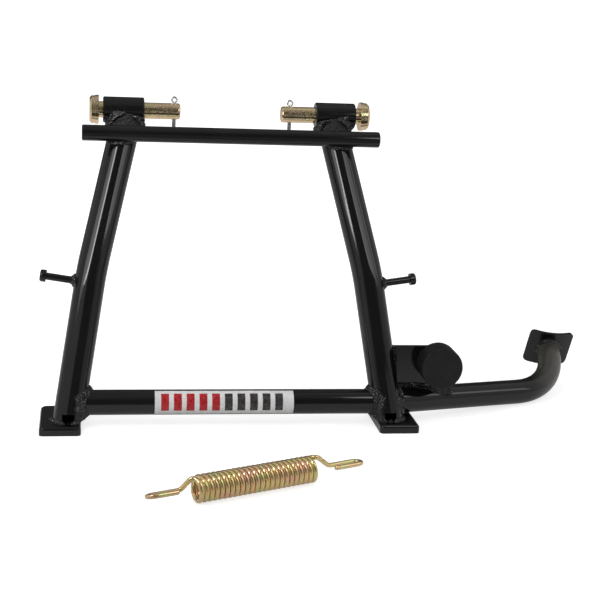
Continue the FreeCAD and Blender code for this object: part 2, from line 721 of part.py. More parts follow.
def build_gusset(stand, rods, grown):
    """Gusset plate between the right leg and the lever, with the hole for the buffer's stud."""
    start, corner, _ = lever_points(stand)
    slope = f"(({corner[2]}) - ({start[2]})) / (({corner[0]}) - ({start[0]}))"
    top_left = on_lower_leg(1, "Sizes.gusset_top_z")
    low_left = on_lower_leg(1, "Sizes.axle_tube_z")
    low_left_x = f"{low_left[0]} + Sizes.leg_diameter / 2"
    right = "Sizes.gusset_right_x"
    low_edge = f"{start[2]} + Sizes.gusset_edge_rise"
    corners = [
        (top_left[0], "Sizes.gusset_top_z"),
        (low_left_x, f"{low_edge} + ({low_left_x} - ({start[0]})) * {slope}"),
        (right, f"{low_edge} + ({right} - ({start[0]})) * {slope}"),
        (right, "Sizes.gusset_top_z - Sizes.gusset_corner_cut"),
        (f"{right} - Sizes.gusset_corner_cut", "Sizes.gusset_top_z"),
    ]
    shapes = {}
    for name, thickness, front in (
        ("gusset", "Sizes.gusset_thickness", "Sizes.gusset_front_y"),
        ("gusset_grown", "Sizes.gusset_thickness + 2 * Sizes.weld_size", "Sizes.gusset_front_y - Sizes.weld_size"),
    ):
        body = stand.document.addObject("PartDesign::Body", f"{name}_body")
        sketch = new_sketch(body, f"{name}_outline", "XZ_Plane")
        draw_outline(sketch, corners, stand.size)
        pad = body.newObject("PartDesign::Pad", f"{name}_sheet")
        pad.Profile = sketch
        pad.setExpression("Length", thickness)
        pad.Reversed = True
        body.Tip = pad
        body.Placement = Placement(stand.point(("0", front, "0")), Rotation())
        shapes[name] = body
    rods["gusset"] = shapes["gusset"]
    grown["gusset"] = shapes["gusset_grown"]
    hole = stand.solid(
        "Cylinder", "stud_hole",
        stand.point(("Sizes.buffer_x", "Sizes.gusset_front_y + 2 * Sizes.gusset_thickness", "Sizes.buffer_z")),
        ALONG_MINUS_Y, Radius="Sizes.stud_diameter / 2 + Sizes.stud_hole_clearance",
        Height="3 * Sizes.gusset_thickness",
    )
    tools = [rods["right_leg"], rods["lever"], hole]
    stand.keep(stand.cut("gusset", rods["gusset"], tools), "gusset_plate")


def build_buffer(stand):
    """Rubber buffer with its moulded stud, washer and nut."""
    axis_point = ("Sizes.buffer_x", "Sizes.gusset_front_y", "Sizes.buffer_z")
    quarter = Rotation(Vector(0, 0, 1), -90)
    centre = stand.point((axis_point[0], f"{axis_point[1]} - Sizes.buffer_length / 2", axis_point[2]))
    body, pad = ring_body(
        stand, "buffer_body", "Sizes.buffer_diameter", None, "Sizes.buffer_length", Placement(centre, quarter)
    )
    front = stand.size("Sizes.buffer_length / 2")
    rim = edges_where(
        pad, lambda edge: outer_rim(edge, stand.size("Sizes.buffer_diameter")) and edge.BoundBox.XMin > front - 1e-3
    )
    soften(body, pad, "buffer_edge", "Fillet", "Radius", "Sizes.buffer_edge_round", rim)

    back = "Sizes.gusset_thickness + Sizes.washer_thickness + Sizes.nut_thickness + Sizes.stud_tail_length"
    tail = stand.point((axis_point[0], f"{axis_point[1]} + {back}", axis_point[2]))
    shank = stand.solid(
        "Cylinder", "stud_shank", tail, ALONG_MINUS_Y, Radius="Sizes.stud_diameter / 2",
        Height=f"{back} + Sizes.stud_buried_depth",
    )
    head_back = f"{axis_point[1]} - Sizes.stud_buried_depth + Sizes.stud_head_thickness"
    head = stand.solid(
        "Cylinder", "stud_head", stand.point((axis_point[0], head_back, axis_point[2])), ALONG_MINUS_Y,
        Radius="Sizes.stud_head_diameter / 2", Height="Sizes.stud_head_thickness",
    )
    stud = stand.fuse("stud", [shank, head])
    stand.keep(stud, "buffer_stud")
    stand.keep(stand.cut("buffer", body, [stud]), "rubber_buffer")

    hole = "Sizes.stud_diameter + 2 * Sizes.stud_hole_clearance"
    washer_middle = f"{axis_point[1]} + Sizes.gusset_thickness + Sizes.washer_thickness / 2"
    washer, _ = ring_body(
        stand, "washer", "Sizes.washer_diameter", hole, "Sizes.washer_thickness",
        Placement(stand.point((axis_point[0], washer_middle, axis_point[2])), quarter),
    )
    stand.keep(washer, "buffer_washer")
    nut_front = f"{axis_point[1]} + Sizes.gusset_thickness + Sizes.washer_thickness"
    nut_back = stand.point((axis_point[0], f"{nut_front} + Sizes.nut_thickness", axis_point[2]))
    prism = stand.document.addObject("Part::Prism", "nut_prism")
    prism.Polygon = 6
    prism.setExpression("Circumradius", "Sizes.nut_across_flats / sqrt(3)")
    prism.setExpression("Height", "Sizes.nut_thickness")
    prism.Placement = Placement(nut_back, ALONG_MINUS_Y)
    stand.keep(stand.cut("nut", prism, [shank]), "buffer_nut")


# Pivot pins and split pins


def build_pin(stand, side, word):
    """Headed pivot pin through a bush, its head outside, with the split pin near its inner end."""
    gap = f"Sizes.{word}_pin_end_gap"
    inset = f"Sizes.{word}_pin_hole_inset"
    head_x = f"{side} * (Sizes.bush_middle_x + Sizes.bush_length / 2 + {gap})"
    seat = stand.point((head_x, "Sizes.pivot_y", "Sizes.pivot_z"))
    inward = Rotation(Vector(0, 0, 1), Vector(-side, 0, 0))
    body = stand.document.addObject("PartDesign::Body", f"{word}_pin_body")
    sketch = new_sketch(body, f"{word}_pin_outline", "XZ_Plane")
    shank = "Sizes.pin_diameter / 2"
    flange = "Sizes.pin_head_diameter / 2"
    crown = "Sizes.pin_crown_diameter / 2"
    crown_low = "-Sizes.pin_flange_thickness"
    head_top = "-(Sizes.pin_flange_thickness + Sizes.pin_crown_height)"
    bevel = "Sizes.pin_crown_bevel"
    corners = [
        ("0", head_top), (f"{crown} - {bevel}", head_top), (crown, f"{head_top} + {bevel}"), (crown, crown_low),
        (flange, crown_low), (flange, "0"), (shank, "0"), (shank, "Sizes.pin_shank_length"),
        ("0", "Sizes.pin_shank_length"),
    ]
    draw_outline(sketch, corners, stand.size)
    lathe = body.newObject("PartDesign::Revolution", f"{word}_pin_turning")
    lathe.Profile = sketch
    lathe.ReferenceAxis = (sketch, ["V_Axis"])
    body.Tip = lathe
    stand.document.recompute()
    end = stand.size("Sizes.pin_shank_length")
    rim = edges_where(lathe, lambda edge: edge.BoundBox.ZMin > end - 0.01 and edge.BoundBox.XLength > 1)
    soften(body, lathe, f"{word}_pin_tip", "Fillet", "Radius", "Sizes.pin_tip_radius", rim)
    body.Placement = Placement(seat, inward)

    hole_x = f"{head_x} - {side} * (Sizes.pin_shank_length - {inset})"
    hole_base = stand.point((hole_x, "Sizes.pivot_y", "Sizes.pivot_z - Sizes.pin_diameter"))
    hole = stand.solid(
        "Cylinder", f"{word}_pin_hole", hole_base, Radius="Sizes.pin_hole_diameter / 2",
        Height="2 * Sizes.pin_diameter",
    )
    stand.keep(stand.cut(f"{word}_pin", body, [hole]), f"{word}_pivot_pin")
    build_split_pin(stand, word, hole_x)


def build_split_pin(stand, word, hole_x):
    """Split pin dropped through the pivot pin, its eye on top and its two legs straight down."""
    eye_radius = "(Sizes.split_eye_diameter - Sizes.split_wire_diameter) / 2"
    leg_offset = "((Sizes.split_wire_diameter + Sizes.split_leg_gap) / 2)"
    eye_z = "Sizes.pin_diameter / 2 + Sizes.split_seat_clearance + Sizes.split_eye_diameter / 2"
    neck = f"sqrt(({eye_radius})^2 - {leg_offset}^2)"
    opening = f"asin({leg_offset} / ({eye_radius}))"
    pieces = []
    for number, sign in enumerate((-1, 1)):
        base = stand.point(
            (f"{hole_x} + {sign} * {leg_offset}", "Sizes.pivot_y", "Sizes.pivot_z - Sizes.split_leg_reach")
        )
        pieces.append(stand.solid(
            "Cylinder", f"{word}_split_leg{number}", base, Radius="Sizes.split_wire_diameter / 2",
            Height=f"Sizes.split_leg_reach + {eye_z} - {neck}",
        ))
        joint = stand.point(
            (f"{hole_x} + {sign} * {leg_offset}", "Sizes.pivot_y", f"Sizes.pivot_z + {eye_z} - {neck}")
        )
        pieces.append(stand.solid(
            "Sphere", f"{word}_split_neck{number}", joint, Radius="Sizes.split_wire_diameter / 2"
        ))
    eye_centre = stand.point((hole_x, "Sizes.pivot_y", f"Sizes.pivot_z + {eye_z}"))
    start_angle = stand.size(opening)
    upright = Rotation(Vector(1, 0, 0), 90).multiply(Rotation(Vector(0, 0, 1), -90 + start_angle))
    eye = stand.solid(
        "Torus", f"{word}_split_eye", eye_centre, upright, Radius1=eye_radius,
        Radius2="Sizes.split_wire_diameter / 2", Angle3=f"360 deg - 2 * {opening}",
    )
    stand.keep(stand.fuse(f"{word}_split", pieces + [eye]), f"{word}_split_pin")


# Return spring and label

# How far round each turn of wire the bottom of the groove between turns lies
GROOVE_ANGLE = math.radians(20)
# Share of a hook's half width by which the two corners of its tip are rounded
TIP_ROUNDNESS = 0.98


def rounded_path(points, radii):
    """Wire of straight runs joined by tangent arcs, one radius for each inner point."""
    edges = []
    last = points[0]
    for before, corner, after, radius in zip(points, points[1:], points[2:], radii):
        arriving = (corner - before).normalize()
        leaving = (after - corner).normalize()
        turn = arriving.getAngle(leaving)
        reach = radius * math.tan(turn / 2)
        arc_start = corner - arriving * reach
        arc_end = corner + leaving * reach
        inward = (leaving - arriving).normalize()
        arc_middle = corner + inward * (radius / math.cos(turn / 2) - radius)
        edges.append(Part.LineSegment(last, arc_start).toShape())
        edges.append(Part.Arc(arc_start, arc_middle, arc_end).toShape())
        last = arc_end
    edges.append(Part.LineSegment(last, points[-1]).toShape())
    return Part.Wire(edges)


def coil_solid(wire, mean_radius, pitch, turns):
    """Close coil turned as one solid: a plain bore and one round ridge for each turn."""
    ridge = wire / 2
    groove = mean_radius + ridge * math.sin(GROOVE_ANGLE)
    reach = ridge * math.cos(GROOVE_ANGLE)
    inner = mean_radius - ridge * math.cos(GROOVE_ANGLE)
    half = pitch * turns / 2
    edges = []
    last = Vector(-half, inner, 0)
    for turn in range(turns):
        middle = -half + pitch * (turn + 0.5)
        start = Vector(middle - reach, groove, 0)
        end = Vector(middle + reach, groove, 0)
        edges.append(Part.LineSegment(last, start).toShape())
        edges.append(Part.Arc(start, Vector(middle, mean_radius + ridge, 0), end).toShape())
        last = end
    corner = Vector(half, inner, 0)
    edges.append(Part.LineSegment(last, corner).toShape())
    edges.append(Part.LineSegment(corner, Vector(-half, inner, 0)).toShape())
    return Part.Face(Part.Wire(edges)).revolve(Vector(), Vector(1, 0, 0), 360)


def build_spring(stand):
    """Extension spring lying on the floor, its hooks bent down from the top of the coil."""
    wire = stand.size("Sizes.spring_wire")
    pitch = stand.size("Sizes.spring_pitch")
    turns = int(stand.size("Sizes.spring_turns"))
    mean_radius = stand.size("(Sizes.spring_diameter - Sizes.spring_wire) / 2")
    shape = coil_solid(wire, mean_radius, pitch, turns)
    for side, word in ((-1, "left"), (1, "right")):
        path = hook_path(stand, side, word, pitch * turns / 2, mean_radius)
        start = path.Vertexes[0].Point
        profile = Part.Wire([Part.makeCircle(wire / 2, start, Vector(side, 0, 0))])
        shape = shape.fuse(path.makePipeShell([profile], True, True))
    feature = stand.document.addObject("Part::Feature", "spring")
    feature.Shape = shape.removeSplitter()
    centre = stand.point(("Sizes.spring_middle_x", "Sizes.spring_middle_y", "Sizes.spring_diameter / 2"))
    feature.Placement = Placement(centre, Rotation(Vector(0, 0, 1), stand.size("Sizes.spring_turn_angle")))
    stand.keep(feature, "return_spring")


def hook_path(stand, side, word, half, mean_radius):
    """Centre line of one hook, from the top of the coil's last turn round its loop."""
    wire = stand.size("Sizes.spring_wire")
    half_hook = stand.size("(Sizes.spring_hook_width - Sizes.spring_wire) / 2")
    shoulder = side * (half + stand.size(f"Sizes.{word}_hook_shoulder"))
    neck = side * (half + stand.size(f"Sizes.{word}_hook_neck"))
    tip = side * (half + stand.size(f"Sizes.{word}_hook_reach") - wire / 2)
    rise = Vector(0, 0, stand.size(f"Sizes.{word}_hook_rise"))
    tilt = Rotation(Vector(1, 0, 0), stand.size(f"Sizes.{word}_hook_tilt"))
    loop = [
        tilt.multVec(Vector(along, across, 0)) + rise
        for along, across in ((neck, half_hook), (tip, half_hook), (tip, -half_hook), (neck, -half_hook))
    ]
    last_turn = side * (half - stand.size("Sizes.spring_pitch") / 2)
    top = [Vector(last_turn, 0, mean_radius), Vector(shoulder, 0, mean_radius)]
    tip_radius = half_hook * TIP_ROUNDNESS
    return rounded_path(top + loop, [wire, wire, tip_radius, tip_radius])


def build_label(stand):
    """Thin label round the front of the cross tube, left without any lettering."""
    cross_y = on_lower_leg(1, "Sizes.axle_tube_z")[1]
    left = stand.point(("Sizes.label_middle_x - Sizes.label_length / 2", cross_y, "Sizes.axle_tube_z"))
    front = Rotation(Vector(1, 0, 0), 180 - stand.size("Sizes.label_span_angle + Sizes.label_low_angle"))
    turn = front.multiply(Rotation(Vector(0, 1, 0), Vector(0, 0, 1), Vector(1, 0, 0), "ZXY"))
    inside = "Sizes.cross_diameter / 2 + Sizes.label_gap"
    shell = stand.solid(
        "Cylinder", "label_shell", left, turn, Radius=f"{inside} + Sizes.label_thickness",
        Height="Sizes.label_length", Angle="Sizes.label_span_angle",
    )
    core = stand.solid("Cylinder", "label_core", left, turn, Radius=inside, Height="Sizes.label_length")
    stand.keep(stand.cut("label", shell, [core]), "label")


def build_welds(stand, rods, grown):
    """Weld beads, each kept clear of the pieces it joins and of the beads beside it."""
    for word in ("left", "right"):
        leg = rods[f"{word}_leg"]
        wide_leg = grown[f"{word}_leg"]
        bush = rods[f"{word}_bush"]
        stand.weld(f"{word}_bush_weld", grown[f"{word}_bush"], wide_leg, [bush, leg, grown["bar"]])
        stand.weld(f"{word}_bar_weld", grown["bar"], wide_leg, [rods["bar"], leg, bush])
        stand.weld(f"{word}_peg_weld", grown[f"{word}_peg"], wide_leg, [rods[f"{word}_peg"], leg])
    stand.weld("left_foot_weld", grown["left_foot"], grown["left_leg"],
               [rods["left_foot"], rods["left_leg"], grown["cross"]])
    stand.weld("right_foot_weld", grown["right_foot"], grown["right_leg"],
               [rods["right_foot"], rods["right_leg"], grown["cross"], grown["lever"]])
    stand.weld("left_cross_weld", grown["cross"], grown["left_leg"],
               [rods["cross"], rods["left_leg"], rods["left_foot"]])
    stand.weld("right_cross_weld", grown["cross"], grown["right_leg"],
               [rods["cross"], rods["right_leg"], rods["right_foot"], grown["lever"]])
    stand.weld("lever_weld", grown["lever"], grown["right_leg"],
               [rods["lever"], rods["right_leg"], rods["right_foot"], rods["cross"], grown["gusset"]])
    stand.weld("gusset_leg_weld", grown["gusset"], grown["right_leg"],
               [rods["gusset"], rods["right_leg"], rods["lever"]])
    stand.weld("gusset_lever_weld", grown["gusset"], grown["lever"],
               [rods["gusset"], grown["right_leg"], rods["lever"]])
    stand.weld("pad_weld", grown["pad"], grown["lever"], [rods["lever"], rods["pad_side"]])


def build_stand(origin):
    """Whole stand in a new document."""
    stand = Stand(origin)
    rods, grown = build_frame(stand)
    build_lever(stand, rods, grown)
    build_gusset(stand, rods, grown)
    build_buffer(stand)
    for side, word in ((-1, "left"), (1, "right")):
        build_pin(stand, side, word)
    build_welds(stand, rods, grown)
    build_label(stand)
    build_spring(stand)
    stand.document.recompute()
    return stand


def floor_centre(stand):
    """Floor point under the middle of the box round all the sub-parts."""
    box = FreeCAD.BoundBox()
    for node in stand.nodes:
        box.add(node.Shape.BoundBox)
    return Vector(box.Center.x, box.Center.y, 0)


def check(stand):
    """Stop unless every object and every sub-part is sound."""
    for feature in stand.document.Objects:
        if "Invalid" in feature.State or "Error" in feature.State:
            raise RuntimeError(f"{feature.Label} failed: {feature.getStatusString()}")
    for node in stand.nodes:
        if node.Shape.isNull() or not node.Shape.isValid() or not node.Shape.Solids:
            raise RuntimeError(f"{node.Label} has no valid solid")


def main():
    """Build once to find the middle of the box, then build about it and write the sub-parts."""
    trial = build_stand(Vector())
    centre = floor_centre(trial)
    FreeCAD.closeDocument(trial.document.Name)
    stand = build_stand(centre)
    check(stand)
    os.makedirs("parts", exist_ok=True)
    for node in stand.nodes:
        node.Shape.exportStep(f"parts/{node.Label}.step")
        solids = len(node.Shape.Solids)
        print(f"{node.Label}: {solids} solid(s), {node.Shape.Volume / 1000:.2f} cm3")
    print(f"Feet midpoint lies at {-centre.x:.3f}, {-centre.y:.3f} from the origin")


main()
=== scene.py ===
"""Looks of a motorcycle centre stand: gloss black tubes, rippled welds, zinc pins and a wound spring."""

import logging
import math
from dataclasses import dataclass, field
from enum import Enum

import bpy
import numpy as np
from mathutils import Matrix, Vector
from mathutils.bvhtree import BVHTree


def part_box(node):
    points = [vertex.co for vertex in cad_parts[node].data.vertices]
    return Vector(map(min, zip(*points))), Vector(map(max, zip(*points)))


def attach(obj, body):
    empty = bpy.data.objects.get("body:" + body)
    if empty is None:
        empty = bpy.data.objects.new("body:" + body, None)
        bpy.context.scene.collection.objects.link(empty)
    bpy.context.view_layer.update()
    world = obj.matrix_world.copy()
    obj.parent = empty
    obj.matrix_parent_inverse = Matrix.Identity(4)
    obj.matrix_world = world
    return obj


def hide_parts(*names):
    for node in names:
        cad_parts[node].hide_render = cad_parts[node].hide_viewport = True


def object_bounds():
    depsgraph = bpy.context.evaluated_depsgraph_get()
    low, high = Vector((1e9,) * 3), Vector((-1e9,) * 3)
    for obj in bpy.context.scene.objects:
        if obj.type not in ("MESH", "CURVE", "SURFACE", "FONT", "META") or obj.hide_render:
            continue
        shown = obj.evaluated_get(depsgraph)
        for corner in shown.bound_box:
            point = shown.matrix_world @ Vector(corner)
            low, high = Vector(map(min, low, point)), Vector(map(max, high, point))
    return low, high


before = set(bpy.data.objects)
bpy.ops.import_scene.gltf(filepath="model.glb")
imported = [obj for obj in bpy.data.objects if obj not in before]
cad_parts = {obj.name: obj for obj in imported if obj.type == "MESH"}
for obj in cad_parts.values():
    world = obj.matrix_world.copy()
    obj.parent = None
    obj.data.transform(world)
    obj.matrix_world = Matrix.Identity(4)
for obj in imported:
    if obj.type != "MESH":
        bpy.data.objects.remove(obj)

LOG = logging.getLogger("centre_stand")
CAD_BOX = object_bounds()
ROOT_BODY = "stand_frame"

Material = bpy.types.Material
Socket = bpy.types.NodeSocket
Colour = tuple[float, float, float, float]
Range = tuple[float, float]
WHITE: Colour = (1.0, 1.0, 1.0, 1.0)
FULL: Range = (0.0, 1.0)
# Most of a noise's values lie in this range.
NOISE_BODY: Range = (0.3, 0.7)
# Length of the painted highlight at the end of the foot lever, in metres.
PAINTED_HIGHLIGHT_LENGTH = 0.055


class WeldForm(Enum):
    """How a weld bead runs: round a joint, or in a line along it."""

    RING = "ring"
    LINE = "line"


class Side(Enum):
    """Side of the stand, with the sign of its X."""

    LEFT = -1
    RIGHT = 1

    @property
    def word(self) -> str:
        """Name that the side has in node names."""
        return self.name.lower()


class Ink(Enum):
    """Ink of the label, with the number of its material."""

    WHITE = 0
    RED = 1
    BLACK = 2


class Graph:
    """Node tree of one material or world, with a short call to add and join nodes."""

    def __init__(self, owner: Material | bpy.types.World) -> None:
        """Empty the owner's node tree.

        Args:
            owner: Material or world that the nodes belong to.
        """
        owner.use_nodes = True
        self.tree = owner.node_tree
        self.tree.nodes.clear()

    def add(self, kind: str, inputs: dict[str | int, object] | None = None,
            **settings: object) -> bpy.types.Node:
        """Add a node.

        Args:
            kind: Node type without its ShaderNode prefix.
            inputs: Value, or socket to join, for each named or numbered input.
            settings: Properties of the node itself.

        Returns:
            The new node.
        """
        node = self.tree.nodes.new(f"ShaderNode{kind}")
        for name, value in settings.items():
            setattr(node, name, value)
        for name, value in (inputs or {}).items():
            if isinstance(value, Socket):
                self.tree.links.new(value, node.inputs[name])
            else:
                node.inputs[name].default_value = value
        return node

    def place(self) -> Socket:
        """Place of the shaded point in the frame, in metres."""
        return self.add("TexCoord").outputs["Object"]

    def noise(self, grain: float, detail: float = 3.0, roughness: float = 0.5) -> Socket:
        """Noise over the frame.

        Args:
            grain: Size of the noise's features in metres.
            detail: Number of finer layers.
            roughness: Strength of the finer layers.

        Returns:
            Socket of the noise's value.
        """
        inputs = {"Vector": self.place(), "Scale": 1 / grain, "Detail": detail, "Roughness": roughness}
        return self.add("TexNoise", inputs).outputs["Fac"]

    def span(self, value: Socket, source: Range, target: Range = FULL) -> Socket:
        """Map a value from one range to another, held at its ends.

        Args:
            value: Socket to map.
            source: Low and high end of the value.
            target: What the ends turn into.

        Returns:
            Socket of the mapped value.
        """
        inputs = {
            "Value": value,
            "From Min": source[0], "From Max": source[1],
            "To Min": target[0], "To Max": target[1],
        }
        return self.add("MapRange", inputs).outputs["Result"]

    def mix(self, share: Socket, first: Colour | Socket, second: Colour | Socket) -> Socket:
        """Mix two colours.

        Args:
            share: Socket with the second colour's share.
            first: Colour or socket.
            second: Colour or socket.

        Returns:
            Socket of the mixed colour.
        """
        node = self.add("Mix", {"Factor": share}, data_type="RGBA")
        for socket, value in ((node.inputs[6], first), (node.inputs[7], second)):
            if isinstance(value, Socket):
                self.tree.links.new(value, socket)
            else:
                socket.default_value = value
        return node.outputs[2]

    def math(self, operation: str, first: float | Socket, second: float | Socket = 0.0) -> Socket:
        """Combine two values.

        Args:
            operation: Name of the operation.
            first: Number or socket.
            second: Number or socket.

        Returns:
            Socket of the result.
        """
        return self.add("Math", {0: first, 1: second}, operation=operation).outputs[0]

    def edge_share(self, radius: float, turn: Range) -> Socket:
        """How much a point lies on a sharp edge.

        Args:
            radius: Reach of an edge in metres.
            turn: Turn of the normal at which an edge starts to count, and that of a full edge.

        Returns:
            Socket from 0 on a plain face to 1 on an edge.
        """
        rounded = self.add("Bevel", {"Radius": radius}, samples=4).outputs["Normal"]
        plain = self.add("NewGeometry").outputs["Normal"]
        likeness = self.add("VectorMath", {0: rounded, 1: plain}, operation="DOT_PRODUCT").outputs["Value"]
        return self.span(self.math("SUBTRACT", 1.0, likeness), turn)

    def axis(self, name: str) -> Socket:
        """One coordinate of the shaded point in the frame, in metres."""
        return self.add("SeparateXYZ", {"Vector": self.place()}).outputs[name]

    def facing(self) -> Socket:
        """How far the surface turns away from the eye, from 0 to 1."""
        return self.add("LayerWeight", {"Blend": 0.5}).outputs["Facing"]

    def bump(self, height: Socket, depth: float, below: Socket | None = None) -> Socket:
        """Relief on the surface.

        Args:
            height: Socket with the relief from 0 to 1.
            depth: Depth of the relief in metres.
            below: Normal that the relief is laid on.

        Returns:
            Socket of the new normal.
        """
        inputs = {"Height": height, "Distance": depth, "Strength": 1.0}
        if below is not None:
            inputs["Normal"] = below
        return self.add("Bump", inputs).outputs["Normal"]

    def finish(self, inputs: dict[str | int, object]) -> None:
        """Join a principled shader to the output.

        Args:
            inputs: Values and sockets of the shader.
        """
        shader = self.add("BsdfPrincipled", inputs)
        self.add("OutputMaterial", {"Surface": shader.outputs["BSDF"]})


@dataclass(frozen=True)
class GlossPaint:
    """Gloss black stove paint with a faint orange peel, pale specks, and paint worn thinner on its edges.

    Each grain is the size of a feature in metres. Lumps act above lump_start. A painted highlight lies from
    thin_start on towards +X. The pale specks are dusty specks on plain paint and painted glints on weld metal.
    """

    name: str = "gloss_black_paint"
    tone: Colour = (0.0035, 0.0035, 0.0037, 1.0)
    faded_tone: Colour = (0.0055, 0.0054, 0.0053, 1.0)
    fade_grain: float = 0.05
    fade_range: Range = (0.35, 0.65)
    edge_tone: Colour = (0.03, 0.03, 0.031, 1.0)
    edge_radius: float = 0.0006
    edge_turn: Range = (0.02, 0.3)
    edge_dullness: float = 0.1
    roughness: Range = (0.07, 0.13)
    rough_grain: float = 0.02
    specular: float = 0.5
    peel_grain: float = 0.0035
    peel_depth: float = 0.00001
    # Pale specks: dusty specks on plain paint, painted glints on weld metal.
    dust_tone: Colour = (0.16, 0.155, 0.15, 1.0)
    dust_grain: float = 0.0042
    dust_share: float = 0.045
    dust_fade: float = 1.6
    dust_field: float = 0.012
    dust_rarity: float = 0.58
    dust_border: float = 0.04
    lump_grain: float = 0.0011
    lump_depth: float = 0.0
    lump_start: float = 0.0
    lump_ramp: float = 0.006
    # Painted highlight at the foot lever's end: a lighter tone along +X, strongest where the surface turns
    # away from the eye.
    thin_share: float = 0.0
    thin_start: float = 0.0
    thin_reach: float = 0.05
    thin_tone: Colour = (0.1, 0.094, 0.082, 1.0)
    thin_grain: float = 0.03
    thin_turn: Range = (0.2, 0.9)
    thin_rim: float = 1.2

    def dust(self, graph: Graph) -> Socket:
        """Scattered pale specks: dusty specks under the gloss, and painted glints on weld metal.

        Args:
            graph: Node tree of the material.

        Returns:
            Socket with the share of the pale specks.
        """
        cells = graph.add("TexVoronoi", {"Vector": graph.place(), "Scale": 1 / self.dust_grain})
        size = (self.dust_share, self.dust_share * self.dust_fade)
        specks = graph.span(cells.outputs["Distance"], size, (1.0, 0.0))
        field_range = (self.dust_rarity, self.dust_rarity + self.dust_border)
        return graph.math("MULTIPLY", specks, graph.span(graph.noise(self.dust_field), field_range))

    def thinned(self, graph: Graph, colour: Socket) -> Socket:
        """Paint a highlight on the end of the foot lever, lighter most where the surface turns away from the
        eye.

        Args:
            graph: Node tree of the material.
            colour: Socket of the full paint's colour.

        Returns:
            Socket of the colour.
        """
        painted_highlight_range = (self.thin_start, self.thin_start + self.thin_reach)
        painted_highlight = graph.span(graph.axis("X"), painted_highlight_range, (0.0, self.thin_share))
        rim = graph.span(graph.facing(), self.thin_turn, (0.0, self.thin_rim))
        uneven = graph.math("ADD", graph.noise(self.thin_grain), rim)
        return graph.mix(graph.math("MULTIPLY", painted_highlight, uneven), colour, self.thin_tone)

    def relief(self, graph: Graph) -> Socket:
        """Orange peel, with lumps of spatter where the paint has them.

        Args:
            graph: Node tree of the material.

        Returns:
            Socket of the normal.
        """
        normal = graph.bump(graph.noise(self.peel_grain, detail=2.0), self.peel_depth)
        if not self.lump_depth:
            return normal
        lumpy = graph.span(graph.axis("Z"), (self.lump_start - self.lump_ramp, self.lump_start))
        lumps = graph.math("MULTIPLY", graph.noise(self.lump_grain, detail=3.0, roughness=0.6), lumpy)
        return graph.bump(lumps, self.lump_depth, normal)

    def material(self) -> Material:
        """Build the paint's material.

        Returns:
            The new material.
        """
        material = bpy.data.materials.new(self.name)
        graph = Graph(material)
        edge = graph.edge_share(self.edge_radius, self.edge_turn)
        faded = graph.span(graph.noise(self.fade_grain), self.fade_range)
        colour = graph.mix(faded, self.tone, self.faded_tone)
        colour = graph.mix(edge, colour, self.edge_tone)
        # Pale specks: dusty specks on plain paint, painted glints on weld metal.
        colour = graph.mix(self.dust(graph), colour, self.dust_tone)
        # Painted highlight on the foot lever's end.
        if self.thin_share:
            colour = self.thinned(graph, colour)
        rough = graph.noise(self.rough_grain, detail=5.0, roughness=0.6)
        rough = graph.span(rough, NOISE_BODY, self.roughness)
        dulled = graph.math("MULTIPLY", edge, self.edge_dullness)
        graph.finish({
            "Base Color": colour, "Roughness": graph.math("ADD", rough, dulled),
            "Normal": self.relief(graph), "Specular IOR Level": self.specular,
        })
        return material


@dataclass(frozen=True)
class ZincPlate:
    """Zinc plated steel, plain or with a yellow passivate that drifts between gold, pink and green."""

    name: str
    tone: Colour
    second_tone: Colour
    third_tone: Colour
    roughness: Range = (0.1, 0.2)
    rough_grain: float = 0.004
    metal_share: float = 0.95
    grain: float = 0.012
    drift_range: Range = (0.38, 0.62)
    third_grain_share: float = 0.6
    third_range: Range = (0.5, 0.68)
    third_share: float = 0.85
    speckle_grain: float = 0.0007
    speckle_depth: float = 0.000015
    # Pit darkening, which is also a painted dark reflection: strongest where the surface faces the eye.
    speckle_tone: float = 0.7
    speckle_range: Range = (0.45, 0.6)
    speckle_turn: Range = (0.04, 0.3)
    speckle_rim: float = 0.2
    pit_tone: Colour = (0.06, 0.045, 0.02, 1.0)
    edge_tone: Colour = (0.66, 0.6, 0.48, 1.0)
    edge_radius: float = 0.0005
    edge_turn: Range = (0.03, 0.35)
    rim_tone: Colour = (0.95, 0.58, 0.4, 1.0)
    rim_share: float = 0.8
    rim_turn: Range = (0.35, 0.85)

    def material(self) -> Material:
        """Build the plating's material.

        Returns:
            The new material.
        """
        material = bpy.data.materials.new(self.name)
        graph = Graph(material)
        second = graph.span(graph.noise(self.grain, detail=3.0), self.drift_range)
        third_noise = graph.noise(self.grain * self.third_grain_share, detail=2.0)
        third = graph.span(third_noise, self.third_range, (0.0, self.third_share))
        colour = graph.mix(second, self.tone, self.second_tone)
        colour = graph.mix(third, colour, self.third_tone)
        speckle = graph.noise(self.speckle_grain, detail=2.0)
        turned = graph.facing()
        # Pits in the plating plus a painted dark reflection, darkest where the surface faces the eye.
        pits_and_dark_reflection = graph.span(speckle, self.speckle_range, (self.speckle_tone, 0.0))
        pits_and_dark_reflection = graph.math("MULTIPLY", pits_and_dark_reflection, graph.span(turned, self.speckle_turn, (1.0, self.speckle_rim)))
        colour = graph.mix(pits_and_dark_reflection, colour, self.pit_tone)
        colour = graph.mix(graph.span(turned, self.rim_turn, (0.0, self.rim_share)), colour, self.rim_tone)
        colour = graph.mix(graph.edge_share(self.edge_radius, self.edge_turn), colour, self.edge_tone)
        graph.finish({
            "Base Color": colour, "Metallic": self.metal_share,
            "Roughness": graph.span(graph.noise(self.rough_grain, detail=4.0), NOISE_BODY, self.roughness),
            "Normal": graph.bump(speckle, self.speckle_depth),
        })
        return material


